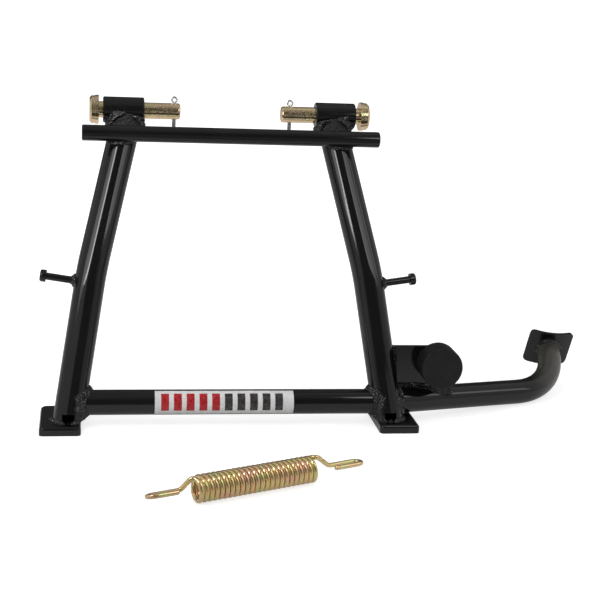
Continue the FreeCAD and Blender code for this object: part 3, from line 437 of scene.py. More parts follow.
@dataclass(frozen=True)
class MouldedRubber:
    """Dark moulded rubber with a dull sheen and a fine moulded grain."""

    name: str = "moulded_rubber"
    tone: Colour = (0.0085, 0.0085, 0.0087, 1.0)
    bloom_tone: Colour = (0.0125, 0.0125, 0.0125, 1.0)
    bloom_grain: float = 0.01
    bloom_range: Range = (0.35, 0.7)
    edge_tone: Colour = (0.022, 0.022, 0.022, 1.0)
    edge_radius: float = 0.0012
    edge_turn: Range = (0.02, 0.3)
    specular: float = 0.3
    roughness: Range = (0.48, 0.62)
    rough_grain: float = 0.006
    mould_grain: float = 0.0006
    mould_depth: float = 0.00002

    def material(self) -> Material:
        """Build the rubber's material.

        Returns:
            The new material.
        """
        material = bpy.data.materials.new(self.name)
        graph = Graph(material)
        bloom = graph.span(graph.noise(self.bloom_grain, detail=4.0), self.bloom_range)
        colour = graph.mix(bloom, self.tone, self.bloom_tone)
        colour = graph.mix(graph.edge_share(self.edge_radius, self.edge_turn), colour, self.edge_tone)
        graph.finish({
            "Base Color": colour, "Specular IOR Level": self.specular,
            "Roughness": graph.span(graph.noise(self.rough_grain, detail=3.0), NOISE_BODY, self.roughness),
            "Normal": graph.bump(graph.noise(self.mould_grain, detail=3.0), self.mould_depth),
        })
        return material


@dataclass(frozen=True)
class PrintedFilm:
    """One printed colour of the label's film, with a soft grain in its ink."""

    name: str
    tone: Colour
    worn_tone: Colour
    worn_grain: float = 0.0015
    worn_range: Range = (0.4, 0.75)
    roughness: Range = (0.22, 0.34)
    rough_grain: float = 0.004
    ripple_grain: float = 0.003
    ripple_depth: float = 0.00001

    def material(self) -> Material:
        """Build the film's material.

        Returns:
            The new material.
        """
        material = bpy.data.materials.new(self.name)
        graph = Graph(material)
        worn = graph.span(graph.noise(self.worn_grain, detail=4.0), self.worn_range)
        graph.finish({
            "Base Color": graph.mix(worn, self.tone, self.worn_tone),
            "Roughness": graph.span(graph.noise(self.rough_grain), NOISE_BODY, self.roughness),
            "Normal": graph.bump(graph.noise(self.ripple_grain, detail=2.0), self.ripple_depth),
        })
        return material


@dataclass(frozen=True)
class PaleFloor:
    """Pale matt studio floor that the eye sees as white, with the stand's soft shadow.

    Near and far lift whiten it to the eye alone, over the distances in lift_reach. In mirrored views its
    front goes dark between the two Y values in front.
    """

    name: str = "pale_floor"
    tone: Colour = (0.62, 0.62, 0.62, 1.0)
    second_tone: Colour = (0.63, 0.63, 0.63, 1.0)
    shade_grain: float = 0.4
    roughness: float = 0.9
    near_lift: float = 0.73
    far_lift: float = 1.0
    lift_reach: Range = (0.35, 1.3)
    dark_tone: Colour = (0.02, 0.02, 0.02, 1.0)
    front: Range = (-0.27, -0.09)
    front_dark: float = 0.9
    mirror_lift: float = 0.2

    def material(self) -> Material:
        """Build the floor's material.

        Returns:
            The new material.
        """
        material = bpy.data.materials.new(self.name)
        graph = Graph(material)
        pale = graph.mix(graph.span(graph.noise(self.shade_grain), NOISE_BODY), self.tone, self.second_tone)
        away = graph.add("VectorMath", {0: graph.place()}, operation="LENGTH").outputs["Value"]
        path = graph.add("LightPath").outputs
        mirrored = path["Is Glossy Ray"]
        near = graph.span(graph.axis("Y"), self.front, (self.front_dark, 0.0))
        dark = graph.math("MULTIPLY", mirrored, near)
        lift = graph.span(away, self.lift_reach, (self.near_lift, self.far_lift))
        seen = graph.math("MULTIPLY", lift, path["Is Camera Ray"])
        graph.finish({
            "Base Color": graph.mix(dark, pale, self.dark_tone), "Roughness": self.roughness,
            "Specular IOR Level": 0.0, "Emission Color": WHITE,
            "Emission Strength": graph.math("ADD", seen, graph.math("MULTIPLY", mirrored, self.mirror_lift)),
        })
        return material


def finish(kind: type, **values: object) -> Material:
    """Field of a dataclass that holds a finish's material, made when the dataclass is.

    Args:
        kind: Class of the finish.
        values: Fields of the finish that differ from its own.

    Returns:
        The field.
    """
    return field(default_factory=lambda: kind(**values).material())


@dataclass(frozen=True)
class Finishes:
    """All the finishes of the stand."""

    paint: Material = finish(GlossPaint)
    leg_paint: Material = finish(
        GlossPaint, name="spattered_black_paint", lump_grain=0.002, lump_depth=0.0022, lump_start=0.28)
    # The lever's paint has a painted highlight over its last stretch.
    lever_paint: Material = finish(
        GlossPaint, name="black_paint_with_painted_highlight", thin_share=1.0, thin_start=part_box("foot_lever")[1].x - PAINTED_HIGHLIGHT_LENGTH)
    # The weld metal's bright pale specks are painted glints.
    weld_paint: Material = finish(
        GlossPaint, name="painted_weld_metal", roughness=(0.06, 0.15), lump_grain=0.0016, lump_depth=0.0004,
        edge_tone=(0.03, 0.03, 0.03, 1.0), dust_tone=(0.6, 0.6, 0.59, 1.0), dust_grain=0.0015,
        dust_share=0.12, dust_rarity=0.44)
    yellow_zinc: Material = finish(
        ZincPlate, name="yellow_zinc", tone=(1.0, 0.83, 0.46, 1.0), second_tone=(1.0, 0.72, 0.5, 1.0),
        third_tone=(0.84, 0.88, 0.46, 1.0), speckle_grain=0.0011, speckle_depth=0.00006)
    spring_zinc: Material = finish(
        ZincPlate, name="spring_zinc", tone=(1.0, 0.82, 0.36, 1.0), second_tone=(1.0, 0.66, 0.42, 1.0),
        third_tone=(0.84, 0.88, 0.38, 1.0), roughness=(0.05, 0.11), metal_share=0.85, grain=0.014,
        speckle_depth=0.000003, speckle_tone=0.15, rim_tone=(0.95, 0.62, 0.42, 1.0), rim_share=0.5)
    bright_zinc: Material = finish(
        ZincPlate, name="bright_zinc", tone=(0.78, 0.79, 0.8, 1.0), second_tone=(0.68, 0.7, 0.73, 1.0),
        third_tone=(0.8, 0.8, 0.78, 1.0), edge_tone=(0.85, 0.85, 0.86, 1.0), rim_tone=(0.8, 0.8, 0.8, 1.0),
        speckle_tone=0.2, metal_share=0.8)
    rubber: Material = finish(MouldedRubber)
    white_film: Material = finish(
        PrintedFilm, name="white_film", tone=(0.83, 0.83, 0.83, 1.0), worn_tone=(0.74, 0.73, 0.72, 1.0))
    red_film: Material = finish(
        PrintedFilm, name="red_film", tone=(0.5, 0.012, 0.018, 1.0), worn_tone=(0.36, 0.02, 0.025, 1.0))
    black_film: Material = finish(
        PrintedFilm, name="black_film", tone=(0.03, 0.026, 0.027, 1.0), worn_tone=(0.07, 0.062, 0.062, 1.0))


def place_object(name: str, data: bpy.types.ID | None) -> bpy.types.Object:
    """Put an object in the scene.

    Args:
        name: Name of the object.
        data: Mesh, lamp or camera that it shows.

    Returns:
        The new object.
    """
    item = bpy.data.objects.new(name, data)
    bpy.context.scene.collection.objects.link(item)
    return item


def dress(node: str, material: Material) -> bpy.types.Object:
    """Give a node of the frame its finish.

    Args:
        node: Name of the node.
        material: Finish for the whole node.

    Returns:
        The node's object.
    """
    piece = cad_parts[node]
    piece.data.materials.clear()
    piece.data.materials.append(material)
    return piece


def add_mesh(name: str, points: np.ndarray, faces: list[tuple[int, ...]], body: str,
             replaced: str) -> bpy.types.Object:
    """Make a smooth mesh that stands for one node.

    Args:
        name: Name of the piece.
        points: Corner points in the frame, in metres.
        faces: Corner numbers of each face.
        body: Body that the piece rides on.
        replaced: Node that it stands for.

    Returns:
        The new piece.
    """
    mesh = bpy.data.meshes.new(name)
    mesh.from_pydata([tuple(point) for point in points], [], faces)
    mesh.validate()
    mesh.shade_smooth()
    piece = place_object(name, mesh)
    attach(piece, body)
    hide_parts(replaced)
    return piece


def node_points(node: str) -> np.ndarray:
    """Corner points of a node of the frame.

    Args:
        node: Name of the node.

    Returns:
        One row of X, Y and Z for each point, in metres.
    """
    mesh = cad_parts[node].data
    points = np.zeros(len(mesh.vertices) * 3, np.float32)
    mesh.vertices.foreach_get("co", points)
    return points.reshape(-1, 3).astype(float)


@dataclass
class WeldedFrame:
    """Painted tubes, bar, bushes, plates and pegs of the stand."""

    nodes: tuple[str, ...] = ("upper_cross_bar", "cross_tube", "foot_pad", "gusset_plate")
    paired_nodes: tuple[str, ...] = ("pivot_bush", "foot_plate", "spring_peg")

    def dress(self, finishes: Finishes) -> None:
        """Paint each piece of the frame.

        Args:
            finishes: The stand's finishes.
        """
        paired = [f"{side.word}_{piece}" for side in Side for piece in self.paired_nodes]
        legs = [f"{side.word}_leg" for side in Side]
        for name in [*self.nodes, *paired]:
            dress(name, finishes.paint)
        for name in legs:
            dress(name, finishes.leg_paint)
        dress("foot_lever", finishes.lever_paint)
        LOG.info("welded frame: %d painted pieces", len(self.nodes) + len(paired) + len(legs) + 1)


@dataclass
class WeldBead:
    """One weld bead, rebuilt from its node as a lumpy fillet with the ripples that the torch leaves.

    The drift is a slow unevenness of the bead, made of a long and a short wave along the seam and one
    across it. It also shifts the ripples, by drift_shift times its own height.
    """

    node: str
    form: WeldForm
    joined: tuple[str, str]
    width: float = 0.0042
    fullness: float = 1.1
    grain: float = 0.00042
    same_point: float = 0.00001
    smoothing: int = 5
    smooth_step: float = 0.5
    ripple_pitch: float = 0.0026
    ripple_height: float = 0.0006
    ripple_bow: float = 0.35
    ripple_power: float = 0.7
    ripple_middle: float = 0.6
    unevenness: float = 0.0005
    long_wave: float = 0.0043
    short_wave: float = 0.0017
    cross_wave: float = 0.0021
    wave_start: float = 1.3
    drift_shift: float = 4.0
    bulge: float = 0.0
    floor_gap: float = 0.0002
    sample: int = 4000
    least_depth: float = 0.000001

    def rounded_mesh(self) -> bpy.types.Mesh:
        """Even, rounded mesh of the bead.

        Returns:
            A new mesh at the node's place.
        """
        copy = place_object(f"{self.node}_copy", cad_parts[self.node].data.copy())
        copy.modifiers.new("join", "WELD").merge_threshold = self.same_point
        remesh = copy.modifiers.new("even", "REMESH")
        remesh.mode = "VOXEL"
        remesh.voxel_size = self.grain
        smooth = copy.modifiers.new("round", "SMOOTH")
        smooth.factor = self.smooth_step
        smooth.iterations = self.smoothing
        graph = bpy.context.evaluated_depsgraph_get()
        mesh = bpy.data.meshes.new_from_object(copy.evaluated_get(graph))
        bpy.data.objects.remove(copy)
        return mesh

    def seam_place(self, points: np.ndarray) -> tuple[np.ndarray, np.ndarray]:
        """Where each point lies along the seam and across it.

        Args:
            points: Points of the bead.

        Returns:
            Distance along the seam and distance across it, in metres.
        """
        middle = points.mean(axis=0)
        offset = points - middle
        _, _, axes = np.linalg.svd(offset[:: max(1, len(offset) // self.sample)], full_matrices=False)
        along, across, normal = (offset @ axis for axis in axes)
        if self.form is WeldForm.LINE:
            return along, across
        reach = float(np.hypot(along, across).mean())
        return np.arctan2(across, along) * reach, normal

    def slim(self, points: np.ndarray) -> np.ndarray:
        """Bring the bead's square corner down to a fillet between the two pieces that it joins.

        Args:
            points: Points of the bead.

        Returns:
            The moved points.
        """
        gaps = []
        for node in self.joined:
            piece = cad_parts[node].data
            tree = BVHTree.FromPolygons([vertex.co for vertex in piece.vertices],
                                        [face.vertices for face in piece.polygons])
            gaps.append(points - np.array([tree.find_nearest(point)[0] for point in points]))
        depths = [np.linalg.norm(gap, axis=1) for gap in gaps]
        excess = np.clip(depths[0] + depths[1] - self.width * self.fullness, 0, None) / 2
        for gap, depth in zip(gaps, depths):
            share = np.minimum(excess, depth) / np.maximum(depth, self.least_depth)
            points = points - gap * share[:, None]
        return points

    def ripple(self, points: np.ndarray) -> np.ndarray:
        """Height of the torch's ripples over the fillet.

        Args:
            points: Points of the bead.

        Returns:
            Height at each point, in metres.
        """
        along, across = self.seam_place(points)
        short = np.sin(along / self.short_wave + across / self.cross_wave)
        drift = self.unevenness * np.sin(along / self.long_wave + self.wave_start) * short
        bow = self.ripple_bow * (across / self.ripple_pitch) ** 2 * self.ripple_pitch
        phase = (along + bow + drift * self.drift_shift) / self.ripple_pitch
        crest = np.abs(np.sin(math.pi * phase)) ** self.ripple_power - self.ripple_middle
        return self.ripple_height * crest + drift + self.bulge

    def build(self, finishes: Finishes) -> bpy.types.Object:
        """Make the rippled bead in place of its node.

        Args:
            finishes: The stand's finishes.

        Returns:
            The new piece.
        """
        mesh = self.rounded_mesh()
        count = len(mesh.vertices)
        points = np.zeros(count * 3)
        mesh.vertices.foreach_get("co", points)
        points = self.slim(points.reshape(-1, 3))
        mesh.vertices.foreach_set("co", points.ravel())
        normals = np.zeros(count * 3)
        mesh.vertex_normals.foreach_get("vector", normals)
        points += normals.reshape(-1, 3) * self.ripple(points)[:, None]
        points[:, 2] = np.maximum(points[:, 2], self.floor_gap)
        mesh.vertices.foreach_set("co", points.ravel())
        mesh.shade_smooth()
        mesh.materials.clear()
        mesh.materials.append(finishes.weld_paint)
        piece = place_object(f"{self.node}_bead", mesh)
        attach(piece, ROOT_BODY)
        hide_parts(self.node)
        return piece


@dataclass
class Welds:
    """All the weld beads of the frame."""

    small_width: float = 0.0028
    pad_width: float = 0.002
    pad_fullness: float = 1.0
    bush_fullness: float = 1.35
    bush_unevenness: float = 0.0008
    bush_bulge: float = 0.0007

    def beads(self) -> list[WeldBead]:
        """List the beads in order.

        Returns:
            The beads of the left side, the right side and the lever.
        """
        beads = []
        for side in Side:
            word = side.word
            leg = f"{word}_leg"
            beads += [
                WeldBead(f"{word}_bush_weld", WeldForm.RING, (f"{word}_pivot_bush", leg),
                         fullness=self.bush_fullness, unevenness=self.bush_unevenness, bulge=self.bush_bulge),
                WeldBead(f"{word}_bar_weld", WeldForm.RING, ("upper_cross_bar", leg)),
                WeldBead(f"{word}_peg_weld", WeldForm.RING, (f"{word}_spring_peg", leg), self.small_width),
                WeldBead(f"{word}_foot_weld", WeldForm.RING, (f"{word}_foot_plate", leg), self.small_width),
                WeldBead(f"{word}_cross_weld", WeldForm.RING, ("cross_tube", leg)),
            ]
        return beads + [
            WeldBead("lever_weld", WeldForm.RING, ("foot_lever", "right_leg")),
            WeldBead("pad_weld", WeldForm.RING, ("foot_pad", "foot_lever"),
                     width=self.pad_width, fullness=self.pad_fullness),
            WeldBead("gusset_leg_weld", WeldForm.LINE, ("gusset_plate", "right_leg")),
            WeldBead("gusset_lever_weld", WeldForm.LINE, ("gusset_plate", "foot_lever")),
        ]

    def build(self, finishes: Finishes) -> None:
        """Make every bead.

        Args:
            finishes: The stand's finishes.
        """
        for bead in self.beads():
            piece = bead.build(finishes)
            LOG.info("%s: %d faces", piece.name, len(piece.data.polygons))


def smooth_path(points: np.ndarray, passes: int) -> np.ndarray:
    """Even out a path's corners, with its two ends held.

    Args:
        points: Closely spaced points of the path.
        passes: How often each point moves halfway to its neighbours.

    Returns:
        The smoothed points.
    """
    path = points.copy()
    for _ in range(passes):
        middle = (path[:-2] + path[2:]) / 2
        path[1:-1] = (path[1:-1] + middle) / 2
    return path


def even_path(corners: list[Vector], step: float) -> np.ndarray:
    """Points at an even spacing along straight runs.

    Args:
        corners: Ends of the runs.
        step: Distance between points in metres.

    Returns:
        The points.
    """
    points = []
    for start, end in zip(corners, corners[1:]):
        count = max(1, round((end - start).length / step))
        points += [start.lerp(end, number / count) for number in range(count)]
    points.append(corners[-1])
    return np.array([tuple(point) for point in points])


def sweep(path: np.ndarray, radius: float, sides: int) -> tuple[np.ndarray, list[tuple[int, ...]]]:
    """Round wire along a path, with flat cut ends.

    Args:
        path: Centre line.
        radius: Radius of the wire.
        sides: Number of sides of its section.

    Returns:
        Points and faces of the wire.
    """
    tangents = np.gradient(path, axis=0)
    tangents /= np.linalg.norm(tangents, axis=1)[:, None]
    aside = np.cross(tangents[0], (0.0, 0.0, 1.0))
    aside /= np.linalg.norm(aside)
    turns = np.arange(sides) * 2 * math.pi / sides
    rings = []
    for point, tangent in zip(path, tangents):
        aside = aside - tangent * np.dot(aside, tangent)
        aside /= np.linalg.norm(aside)
        other = np.cross(tangent, aside)
        rings.append(point + radius * (np.outer(np.cos(turns), aside) + np.outer(np.sin(turns), other)))
    faces: list[tuple[int, ...]] = []
    for ring in range(len(rings) - 1):
        for side in range(sides):
            after = (side + 1) % sides
            faces.append((ring * sides + side, ring * sides + after, (ring + 1) * sides + after,
                          (ring + 1) * sides + side))
    last = (len(rings) - 1) * sides
    faces.append(tuple(range(sides - 1, -1, -1)))
    faces.append(tuple(range(last, last + sides)))
    return np.concatenate(rings), faces


@dataclass
class SpringHook:
    """Hook at one end of the spring, bent down from the top of the coil.

    The shoulder, neck and reach are distances past the coil's end, the rise is the loop's height over the
    coil's axis, the tilt is in degrees, and the free strand ends free_cut short of the neck.
    """

    side: Side
    shoulder: float
    neck: float
    reach: float
    rise: float
    tilt: float
    free_cut: float = 0.0
    bend_steps: int = 12
    tuck: float = 0.2

    def corners(self, half: float, mean_radius: float, half_width: float, wire: float) -> list[Vector]:
        """Corners of the hook's path from its free end to the coil.

        Args:
            half: Half the coil's length.
            mean_radius: Radius of the coil's centre line.
            half_width: Half the width of the loop's centre line.
            wire: Wire diameter.

        Returns:
            The corners in the spring's own frame.
        """
        sign = self.side.value
        neck = sign * (half + self.neck)
        tip = sign * (half + self.reach - wire / 2)
        tip_start = tip - sign * half_width
        tilt = Matrix.Rotation(math.radians(self.tilt), 3, "X")
        loop = [Vector((neck + sign * self.free_cut, -half_width, 0)), Vector((tip_start, -half_width, 0))]
        for step in range(1, self.bend_steps):
            angle = math.pi * step / self.bend_steps
            bend = tip_start + sign * half_width * math.sin(angle)
            loop.append(Vector((bend, -half_width * math.cos(angle), 0)))
        loop += [Vector((tip_start, half_width, 0)), Vector((neck, half_width, 0))]
        bent = [tilt @ point + Vector((0, 0, self.rise)) for point in loop]
        return bent + [Vector((sign * (half + self.shoulder), 0, mean_radius)),
                       Vector((sign * (half - wire * self.tuck), 0, mean_radius))]


@dataclass
class ReturnSpring:
    """Extension spring wound from round wire, lying on the floor.

    The coil starts and ends coil_lead degrees round from its top, end_tuck of a wire short of its length.
    Its left end and left hook stand left_stretch further out.
    """

    node: str = "return_spring"
    wire: float = 0.0044
    outside: float = 0.0248
    turns: int = 24
    loop_width: float = 0.016
    step: float = 0.0006
    passes: int = 26
    sides: int = 14
    coil_lead: float = 16.0
    end_tuck: float = 0.4
    touching: float = 0.0003
    left_stretch: float = 0.0025
    left: SpringHook = field(default_factory=lambda: SpringHook(
        Side.LEFT, shoulder=0.0028, neck=0.0092, reach=0.0444, rise=0.0008, tilt=-17.0, free_cut=0.0075))
    right: SpringHook = field(default_factory=lambda: SpringHook(
        Side.RIGHT, shoulder=0.0022, neck=0.0185, reach=0.0508, rise=-0.0015, tilt=-8.0))

    def seat(self) -> tuple[Matrix, float]:
        """Find the coil on the floor from its node.

        Returns:
            Placement of the spring's own frame, and half the coil's length.
        """
        points = node_points(self.node)
        low = points[points[:, 2] < points[:, 2].min() + self.touching]
        first = Vector(low[low[:, 0].argmin()])
        last = Vector(low[low[:, 0].argmax()])
        span = (last - first).length
        turn = math.atan2(last.y - first.y, last.x - first.x)
        middle = (first + last) / 2
        place = Matrix.Translation((middle.x, middle.y, self.outside / 2)) @ Matrix.Rotation(turn, 4, "Z")
        return place, span * self.turns / (self.turns - 1) / 2

    def centre_line(self, half: float) -> np.ndarray:
        """Centre line of the wire from hook to hook.

        Args:
            half: Half the coil's length.

        Returns:
            Closely spaced points in the spring's own frame.
        """
        mean_radius = (self.outside - self.wire) / 2
        half_width = (self.loop_width - self.wire) / 2
        left_half = half + self.left_stretch
        left_end = even_path(self.left.corners(left_half, mean_radius, half_width, self.wire), self.step)
        right_end = even_path(self.right.corners(half, mean_radius, half_width, self.wire), self.step)
        lead = math.radians(self.coil_lead)
        turn = np.arange(lead, self.turns * 2 * math.pi - lead, self.step / mean_radius)
        coil_end = half - self.wire * self.end_tuck
        along = np.linspace(-coil_end - self.left_stretch, coil_end, len(turn))
        coil = np.stack([along, -mean_radius * np.sin(turn), mean_radius * np.cos(turn)], axis=1)
        return smooth_path(np.concatenate([left_end, coil, right_end[::-1]]), self.passes)

    def build(self, finishes: Finishes) -> None:
        """Wind the spring in place of its node.

        Args:
            finishes: The stand's finishes.
        """
        place, half = self.seat()
        points, faces = sweep(self.centre_line(half), self.wire / 2, self.sides)
        placed = points @ np.array(place.to_3x3()).T + np.array(place.translation)
        piece = add_mesh("return_spring_wire", placed, faces, ROOT_BODY, self.node)
        piece.data.materials.append(finishes.spring_zinc)
        LOG.info("return spring: %d turns, %d faces", self.turns, len(faces))


@dataclass
class PivotPins:
    """Plated pivot pins and the split pins that hold them."""

    wire_swell: float = 0.0002

    def dress(self, finishes: Finishes) -> None:
        """Plate the pins.

        Args:
            finishes: The stand's finishes.
        """
        for side in Side:
            dress(f"{side.word}_pivot_pin", finishes.yellow_zinc)
            wire = dress(f"{side.word}_split_pin", finishes.bright_zinc)
            swell = wire.modifiers.new("plating", "DISPLACE")
            swell.mid_level = 0.0
            swell.strength = self.wire_swell
        LOG.info("pivot pins: two pins and two split pins")


@dataclass
class RubberBuffer:
    """Rubber buffer on its plated stud, washer and nut."""

    hardware: tuple[str, ...] = ("buffer_stud", "buffer_washer", "buffer_nut")

    def dress(self, finishes: Finishes) -> None:
        """Finish the buffer and what holds it.

        Args:
            finishes: The stand's finishes.
        """
        dress("rubber_buffer", finishes.rubber)
        for node in self.hardware:
            dress(node, finishes.bright_zinc)
        LOG.info("rubber buffer: buffer and %d pieces of hardware", len(self.hardware))


@dataclass
class CrossTubeLabel:
    """Label round the front of the cross tube, with plain bars of colour."""

    node: str = "label"
    tube_radius: float = 0.01225
    gap: float = 0.00005
    thickness: float = 0.00015
    low_angle: float = -49.0
    span_angle: float = 126.0
    rows: int = 26
    margin: float = 0.006
    print_low: float = 0.2
    print_high: float = 0.86
    bars: int = 10
    bar_share: float = 0.62

    def columns(self, low: float, high: float) -> list[tuple[float, Ink]]:
        """Where the label's columns end, and the ink of each.

        Args:
            low: X of the label's left end.
            high: X of its right end.

        Returns:
            X of each column's right edge, and its ink.
        """
        pitch = (high - low - 2 * self.margin) / self.bars
        edges = [(low + self.margin, Ink.WHITE)]
        for bar in range(self.bars):
            start = low + self.margin + bar * pitch
            ink = Ink.RED if bar < self.bars / 2 else Ink.BLACK
            edges += [(start + pitch * self.bar_share, ink), (start + pitch, Ink.WHITE)]
        return edges + [(high, Ink.WHITE)]

    def build(self, finishes: Finishes) -> None:
        """Make the printed film in place of its node.

        Args:
            finishes: The stand's finishes.
        """
        low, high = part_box(self.node)
        tube_low, tube_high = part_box("cross_tube")
        centre_y = (tube_low.y + tube_high.y) / 2
        centre_z = (tube_low.z + tube_high.z) / 2
        radius = self.tube_radius + self.gap + self.thickness
        edges = [(low.x, Ink.WHITE)] + self.columns(low.x, high.x)
        turns = [self.low_angle + self.span_angle * row / self.rows for row in range(self.rows + 1)]
        angles = [math.radians(turn) for turn in turns]
        points = [
            (x, centre_y - radius * math.cos(angle), centre_z + radius * math.sin(angle))
            for x, _ in edges for angle in angles
        ]
        faces, inks = [], []
        count = self.rows + 1
        for column, (_, ink) in enumerate(edges[1:]):
            for row in range(self.rows):
                first = column * count + row
                faces.append((first, first + count, first + count + 1, first + 1))
                inside = self.print_low <= (row + 0.5) / self.rows <= self.print_high
                inks.append((ink if inside else Ink.WHITE).value)
        piece = add_mesh("cross_tube_label", np.array(points), faces, ROOT_BODY, self.node)
        for material in (finishes.white_film, finishes.red_film, finishes.black_film):
            piece.data.materials.append(material)
        piece.data.polygons.foreach_set("material_index", inks)
        LOG.info("label: %d bars", self.bars)


@dataclass(frozen=True)
class SoftPanel:
    """Glowing panel with rounded corners, which stands beside the camera.

    It is brighter towards the camera and along its inner rim. Its centre is taken from the floor point
    between the feet. A panel with a crown_height has a sloping upper half of that height, with its own
    corner, and no rim there.
    """

    name: str
    side: Side
    centre: tuple[float, float, float]
    half_size: tuple[float, float]
    inner_glow: float
    outer_glow: float
    rim_glow: float = 0.0
    rim_share: float = 0.1
    rim_fade: float = 0.8
    rim_inset: float = 0.5
    crown_fade: float = 0.3
    corner: float = 4.0
    crown_height: float = 0.0
    crown_corner: float = 1.4
    lights: bool = True
    points: int = 64

    def material(self) -> Material:
        """Build the glowing cloth.

        Returns:
            The new material.
        """
        material = bpy.data.materials.new(self.name)
        graph = Graph(material)
        size = (self.half_size[0], 1.0, self.half_size[1])
        shares = graph.add("VectorMath", {0: graph.place(), 1: size}, operation="DIVIDE").outputs["Vector"]
        across = graph.add("SeparateXYZ", {"Vector": shares}).outputs
        inward = graph.math("MULTIPLY", across["X"], float(-self.side.value))
        glow = graph.span(inward, (-1.0, 1.0), (self.outer_glow, self.inner_glow))
        powers = [
            graph.math("POWER", graph.math("ABSOLUTE", across[axis]), self.corner) for axis in ("X", "Z")
        ]
        start = (1 - self.rim_share) ** self.corner
        rim = graph.span(graph.math("ADD", *powers), (start * self.rim_fade, start), (0.0, self.rim_glow))
        rim = graph.math("MULTIPLY", rim, graph.span(inward, (0.0, self.rim_inset)))
        if self.crown_height:
            rim = graph.math("MULTIPLY", rim, graph.span(across["Z"], (0.0, self.crown_fade), (1.0, 0.0)))
        shine = graph.add("Emission", {"Strength": graph.math("ADD", glow, rim)})
        graph.add("OutputMaterial", {"Surface": shine.outputs[0]})
        return material

    def outline(self) -> list[tuple[float, float, float]]:
        """Corners of the panel.

        Returns:
            Points round the panel in its own frame.
        """
        corners = []
        for number in range(self.points):
            turn = 2 * math.pi * number / self.points
            crowned = self.crown_height > 0 and turn < math.pi
            power = 2 / (self.crown_corner if crowned else self.corner)
            height = self.crown_height if crowned else self.half_size[1]
            shares = [math.copysign(abs(part) ** power, part) for part in (math.cos(turn), math.sin(turn))]
            corners.append((self.half_size[0] * shares[0], 0, height * shares[1]))
        return corners

    def build(self, floor_point: Vector) -> None:
        """Hang the panel facing the back of the room.

        Args:
            floor_point: Floor point between the feet.
        """
        mesh = bpy.data.meshes.new(self.name)
        mesh.from_pydata(self.outline(), [], [tuple(range(self.points))])
        mesh.materials.append(self.material())
        panel = place_object(self.name, mesh)
        panel.location = floor_point + Vector(self.centre)
        panel.visible_camera = False
        panel.visible_shadow = False
        panel.visible_diffuse = self.lights


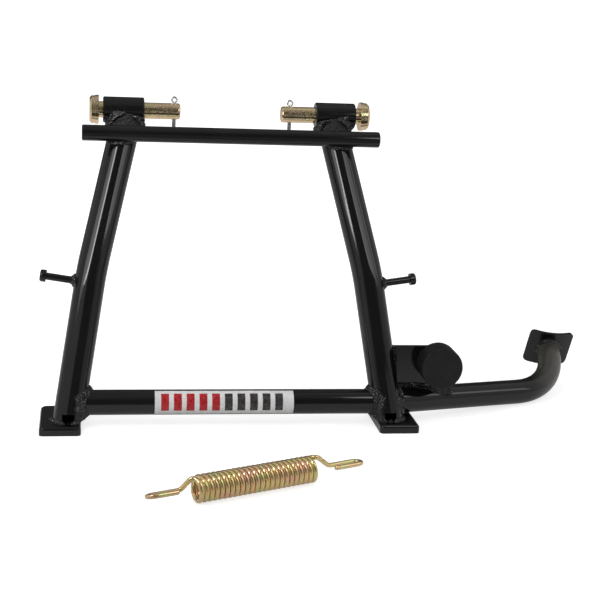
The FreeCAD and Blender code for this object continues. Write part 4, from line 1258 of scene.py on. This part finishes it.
@dataclass
class Studio:
    """White room, floor, lights and the camera at the photograph's angle.

    The glows are what mirrored views see of the room: its sides, its dim front, its rear and its top. Each
    turn is the range of a direction's X, Y or Z over which one glow gives way to the next. The
    level part of a direction counts as least_level or more.
    """

    floor_size: float = 60.0
    fill: float = 0.42
    side_glow: float = 0.5
    side_turn: Range = (0.6, 0.85)
    dim_glow: float = 0.11
    rear_glow: float = 0.08
    rear_turn: Range = (-0.1, 0.4)
    top_glow: float = 0.3
    top_turn: Range = (0.55, 0.8)
    least_level: float = 0.01
    panels: tuple[SoftPanel, ...] = (
        SoftPanel("left_softbox", Side.LEFT, centre=(-0.75, -0.45, 0.64), half_size=(0.44, 0.31),
                  inner_glow=2.8, outer_glow=2.0, rim_glow=9.0, rim_share=0.2),
        SoftPanel("right_softbox", Side.RIGHT, centre=(0.64, -0.45, 0.6), half_size=(0.395, 0.2),
                  inner_glow=2.2, outer_glow=1.5, rim_glow=1.5, rim_share=0.12,
                  corner=6.0, crown_height=0.42),
        SoftPanel("far_right_softbox", Side.RIGHT, centre=(1.75, -0.45, 0.95), half_size=(0.45, 0.35),
                  inner_glow=2.0, outer_glow=2.0, corner=6.0, lights=False),
        SoftPanel("left_board", Side.LEFT, centre=(-0.88, -0.35, 0.16), half_size=(0.6, 0.16),
                  inner_glow=0.55, outer_glow=0.55, corner=10.0, lights=False),
        SoftPanel("right_board", Side.RIGHT, centre=(0.88, -0.35, 0.08), half_size=(0.6, 0.08),
                  inner_glow=0.45, outer_glow=0.45, corner=10.0, lights=False),
    )
    top_light: float = 0.5
    top_size: tuple[float, float] = (1.6, 1.0)
    top_offset: tuple[float, float, float] = (0.0, 0.2, 1.8)
    camera_offset: tuple[float, float, float] = (-0.14736, -1.29097, 0.44193)
    yaw: float = 9.24
    pitch: float = 13.49
    roll: float = 2.58
    lens: float = 84.0
    sensor: float = 36.0
    sight: Range = (0.05, 200.0)
    foot_front: float = 0.023

    def feet_middle(self) -> Vector:
        """Find the floor point between the feet from which the camera is placed.

        Returns:
            The point in the frame.
        """
        left_low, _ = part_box("left_foot_plate")
        _, right_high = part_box("right_foot_plate")
        return Vector(((left_low.x + right_high.x) / 2, left_low.y + self.foot_front, 0))

    def build_camera(self) -> None:
        """Place the camera as the photograph was taken."""
        yaw, pitch, roll = (math.radians(angle) for angle in (self.yaw, self.pitch, self.roll))
        forward = Vector((math.sin(yaw) * math.cos(pitch), math.cos(yaw) * math.cos(pitch), -math.sin(pitch)))
        level = Vector((math.cos(yaw), -math.sin(yaw), 0))
        upward = level.cross(forward)
        right = level * math.cos(roll) + upward * math.sin(roll)
        up = upward * math.cos(roll) - level * math.sin(roll)
        data = bpy.data.cameras.new("photo_camera")
        data.lens = self.lens
        data.sensor_width = self.sensor
        data.clip_start, data.clip_end = self.sight
        camera = place_object("photo_camera", data)
        camera.matrix_world = Matrix.Translation(self.feet_middle() + Vector(self.camera_offset)) @ Matrix(
            (right, up, -forward)).transposed().to_4x4()
        bpy.context.scene.camera = camera

    def build_floor(self) -> None:
        """Lay the pale floor."""
        half = self.floor_size / 2
        mesh = bpy.data.meshes.new("floor")
        corners = [(-half, -half, 0), (half, -half, 0), (half, half, 0), (-half, half, 0)]
        mesh.from_pydata(corners, [], [(0, 1, 2, 3)])
        mesh.materials.append(PaleFloor().material())
        floor = place_object("floor", mesh)

    def build_world(self) -> None:
        """Light the room: white to the eye, with pale sides and a dim front and back in reflections."""
        world = bpy.data.worlds.new("studio")
        bpy.context.scene.world = world
        graph = Graph(world)
        path = graph.add("LightPath").outputs
        away = graph.add("SeparateXYZ", {"Vector": graph.add("TexCoord").outputs["Generated"]}).outputs
        aside = graph.math("ABSOLUTE", away["X"])
        level = graph.math("SQRT", graph.math("SUBTRACT", 1.0, graph.math("POWER", away["Z"], 2.0)))
        turned = graph.math("DIVIDE", aside, graph.math("MAXIMUM", level, self.least_level))
        side = graph.span(turned, self.side_turn)
        middle = graph.span(away["Y"], self.rear_turn, (self.dim_glow, self.rear_glow))
        share = graph.math("MULTIPLY", side, graph.math("SUBTRACT", self.side_glow, middle))
        glow = graph.math("ADD", middle, share)
        overhead = graph.span(away["Z"], self.top_turn, (0.0, self.top_glow))
        glow = graph.math("MAXIMUM", glow, overhead)
        matt, shine, eye = (
            graph.add("Background", {"Color": WHITE, "Strength": strength})
            for strength in (self.fill, glow, 1.0)
        )
        room = graph.add("MixShader", {0: path["Is Glossy Ray"], 1: matt.outputs[0], 2: shine.outputs[0]})
        seen = graph.add("MixShader", {0: path["Is Camera Ray"], 1: room.outputs[0], 2: eye.outputs[0]})
        graph.add("OutputWorld", {"Surface": seen.outputs[0]})

    def build_top_light(self, target: Vector) -> None:
        """Hang a wide soft lamp over the stand.

        Args:
            target: Point that it lights.
        """
        lamp = bpy.data.lights.new("top_lamp", "AREA")
        lamp.shape = "RECTANGLE"
        lamp.size, lamp.size_y = self.top_size
        lamp.energy = self.top_light * math.pi * self.top_size[0] * self.top_size[1]
        holder = place_object("top_lamp", lamp)
        holder.location = target + Vector(self.top_offset)
        holder.visible_camera = False
        holder.visible_glossy = False

    def build(self) -> None:
        """Set up the whole studio."""
        low, high = CAD_BOX
        self.build_floor()
        self.build_world()
        for panel in self.panels:
            panel.build(self.feet_middle())
        self.build_top_light((low + high) / 2)
        self.build_camera()
        LOG.info("studio: %d panels and a top lamp", len(self.panels))


def main() -> None:
    """Build the stand's looks piece by piece, and then the studio."""
    logging.basicConfig(level=logging.INFO, format="%(message)s")
    bpy.context.scene.view_settings.view_transform = "Standard"
    finishes = Finishes()
    WeldedFrame().dress(finishes)
    Welds().build(finishes)
    PivotPins().dress(finishes)
    RubberBuffer().dress(finishes)
    CrossTubeLabel().build(finishes)
    ReturnSpring().build(finishes)
    Studio().build()


if __name__ == "__main__":
    main()
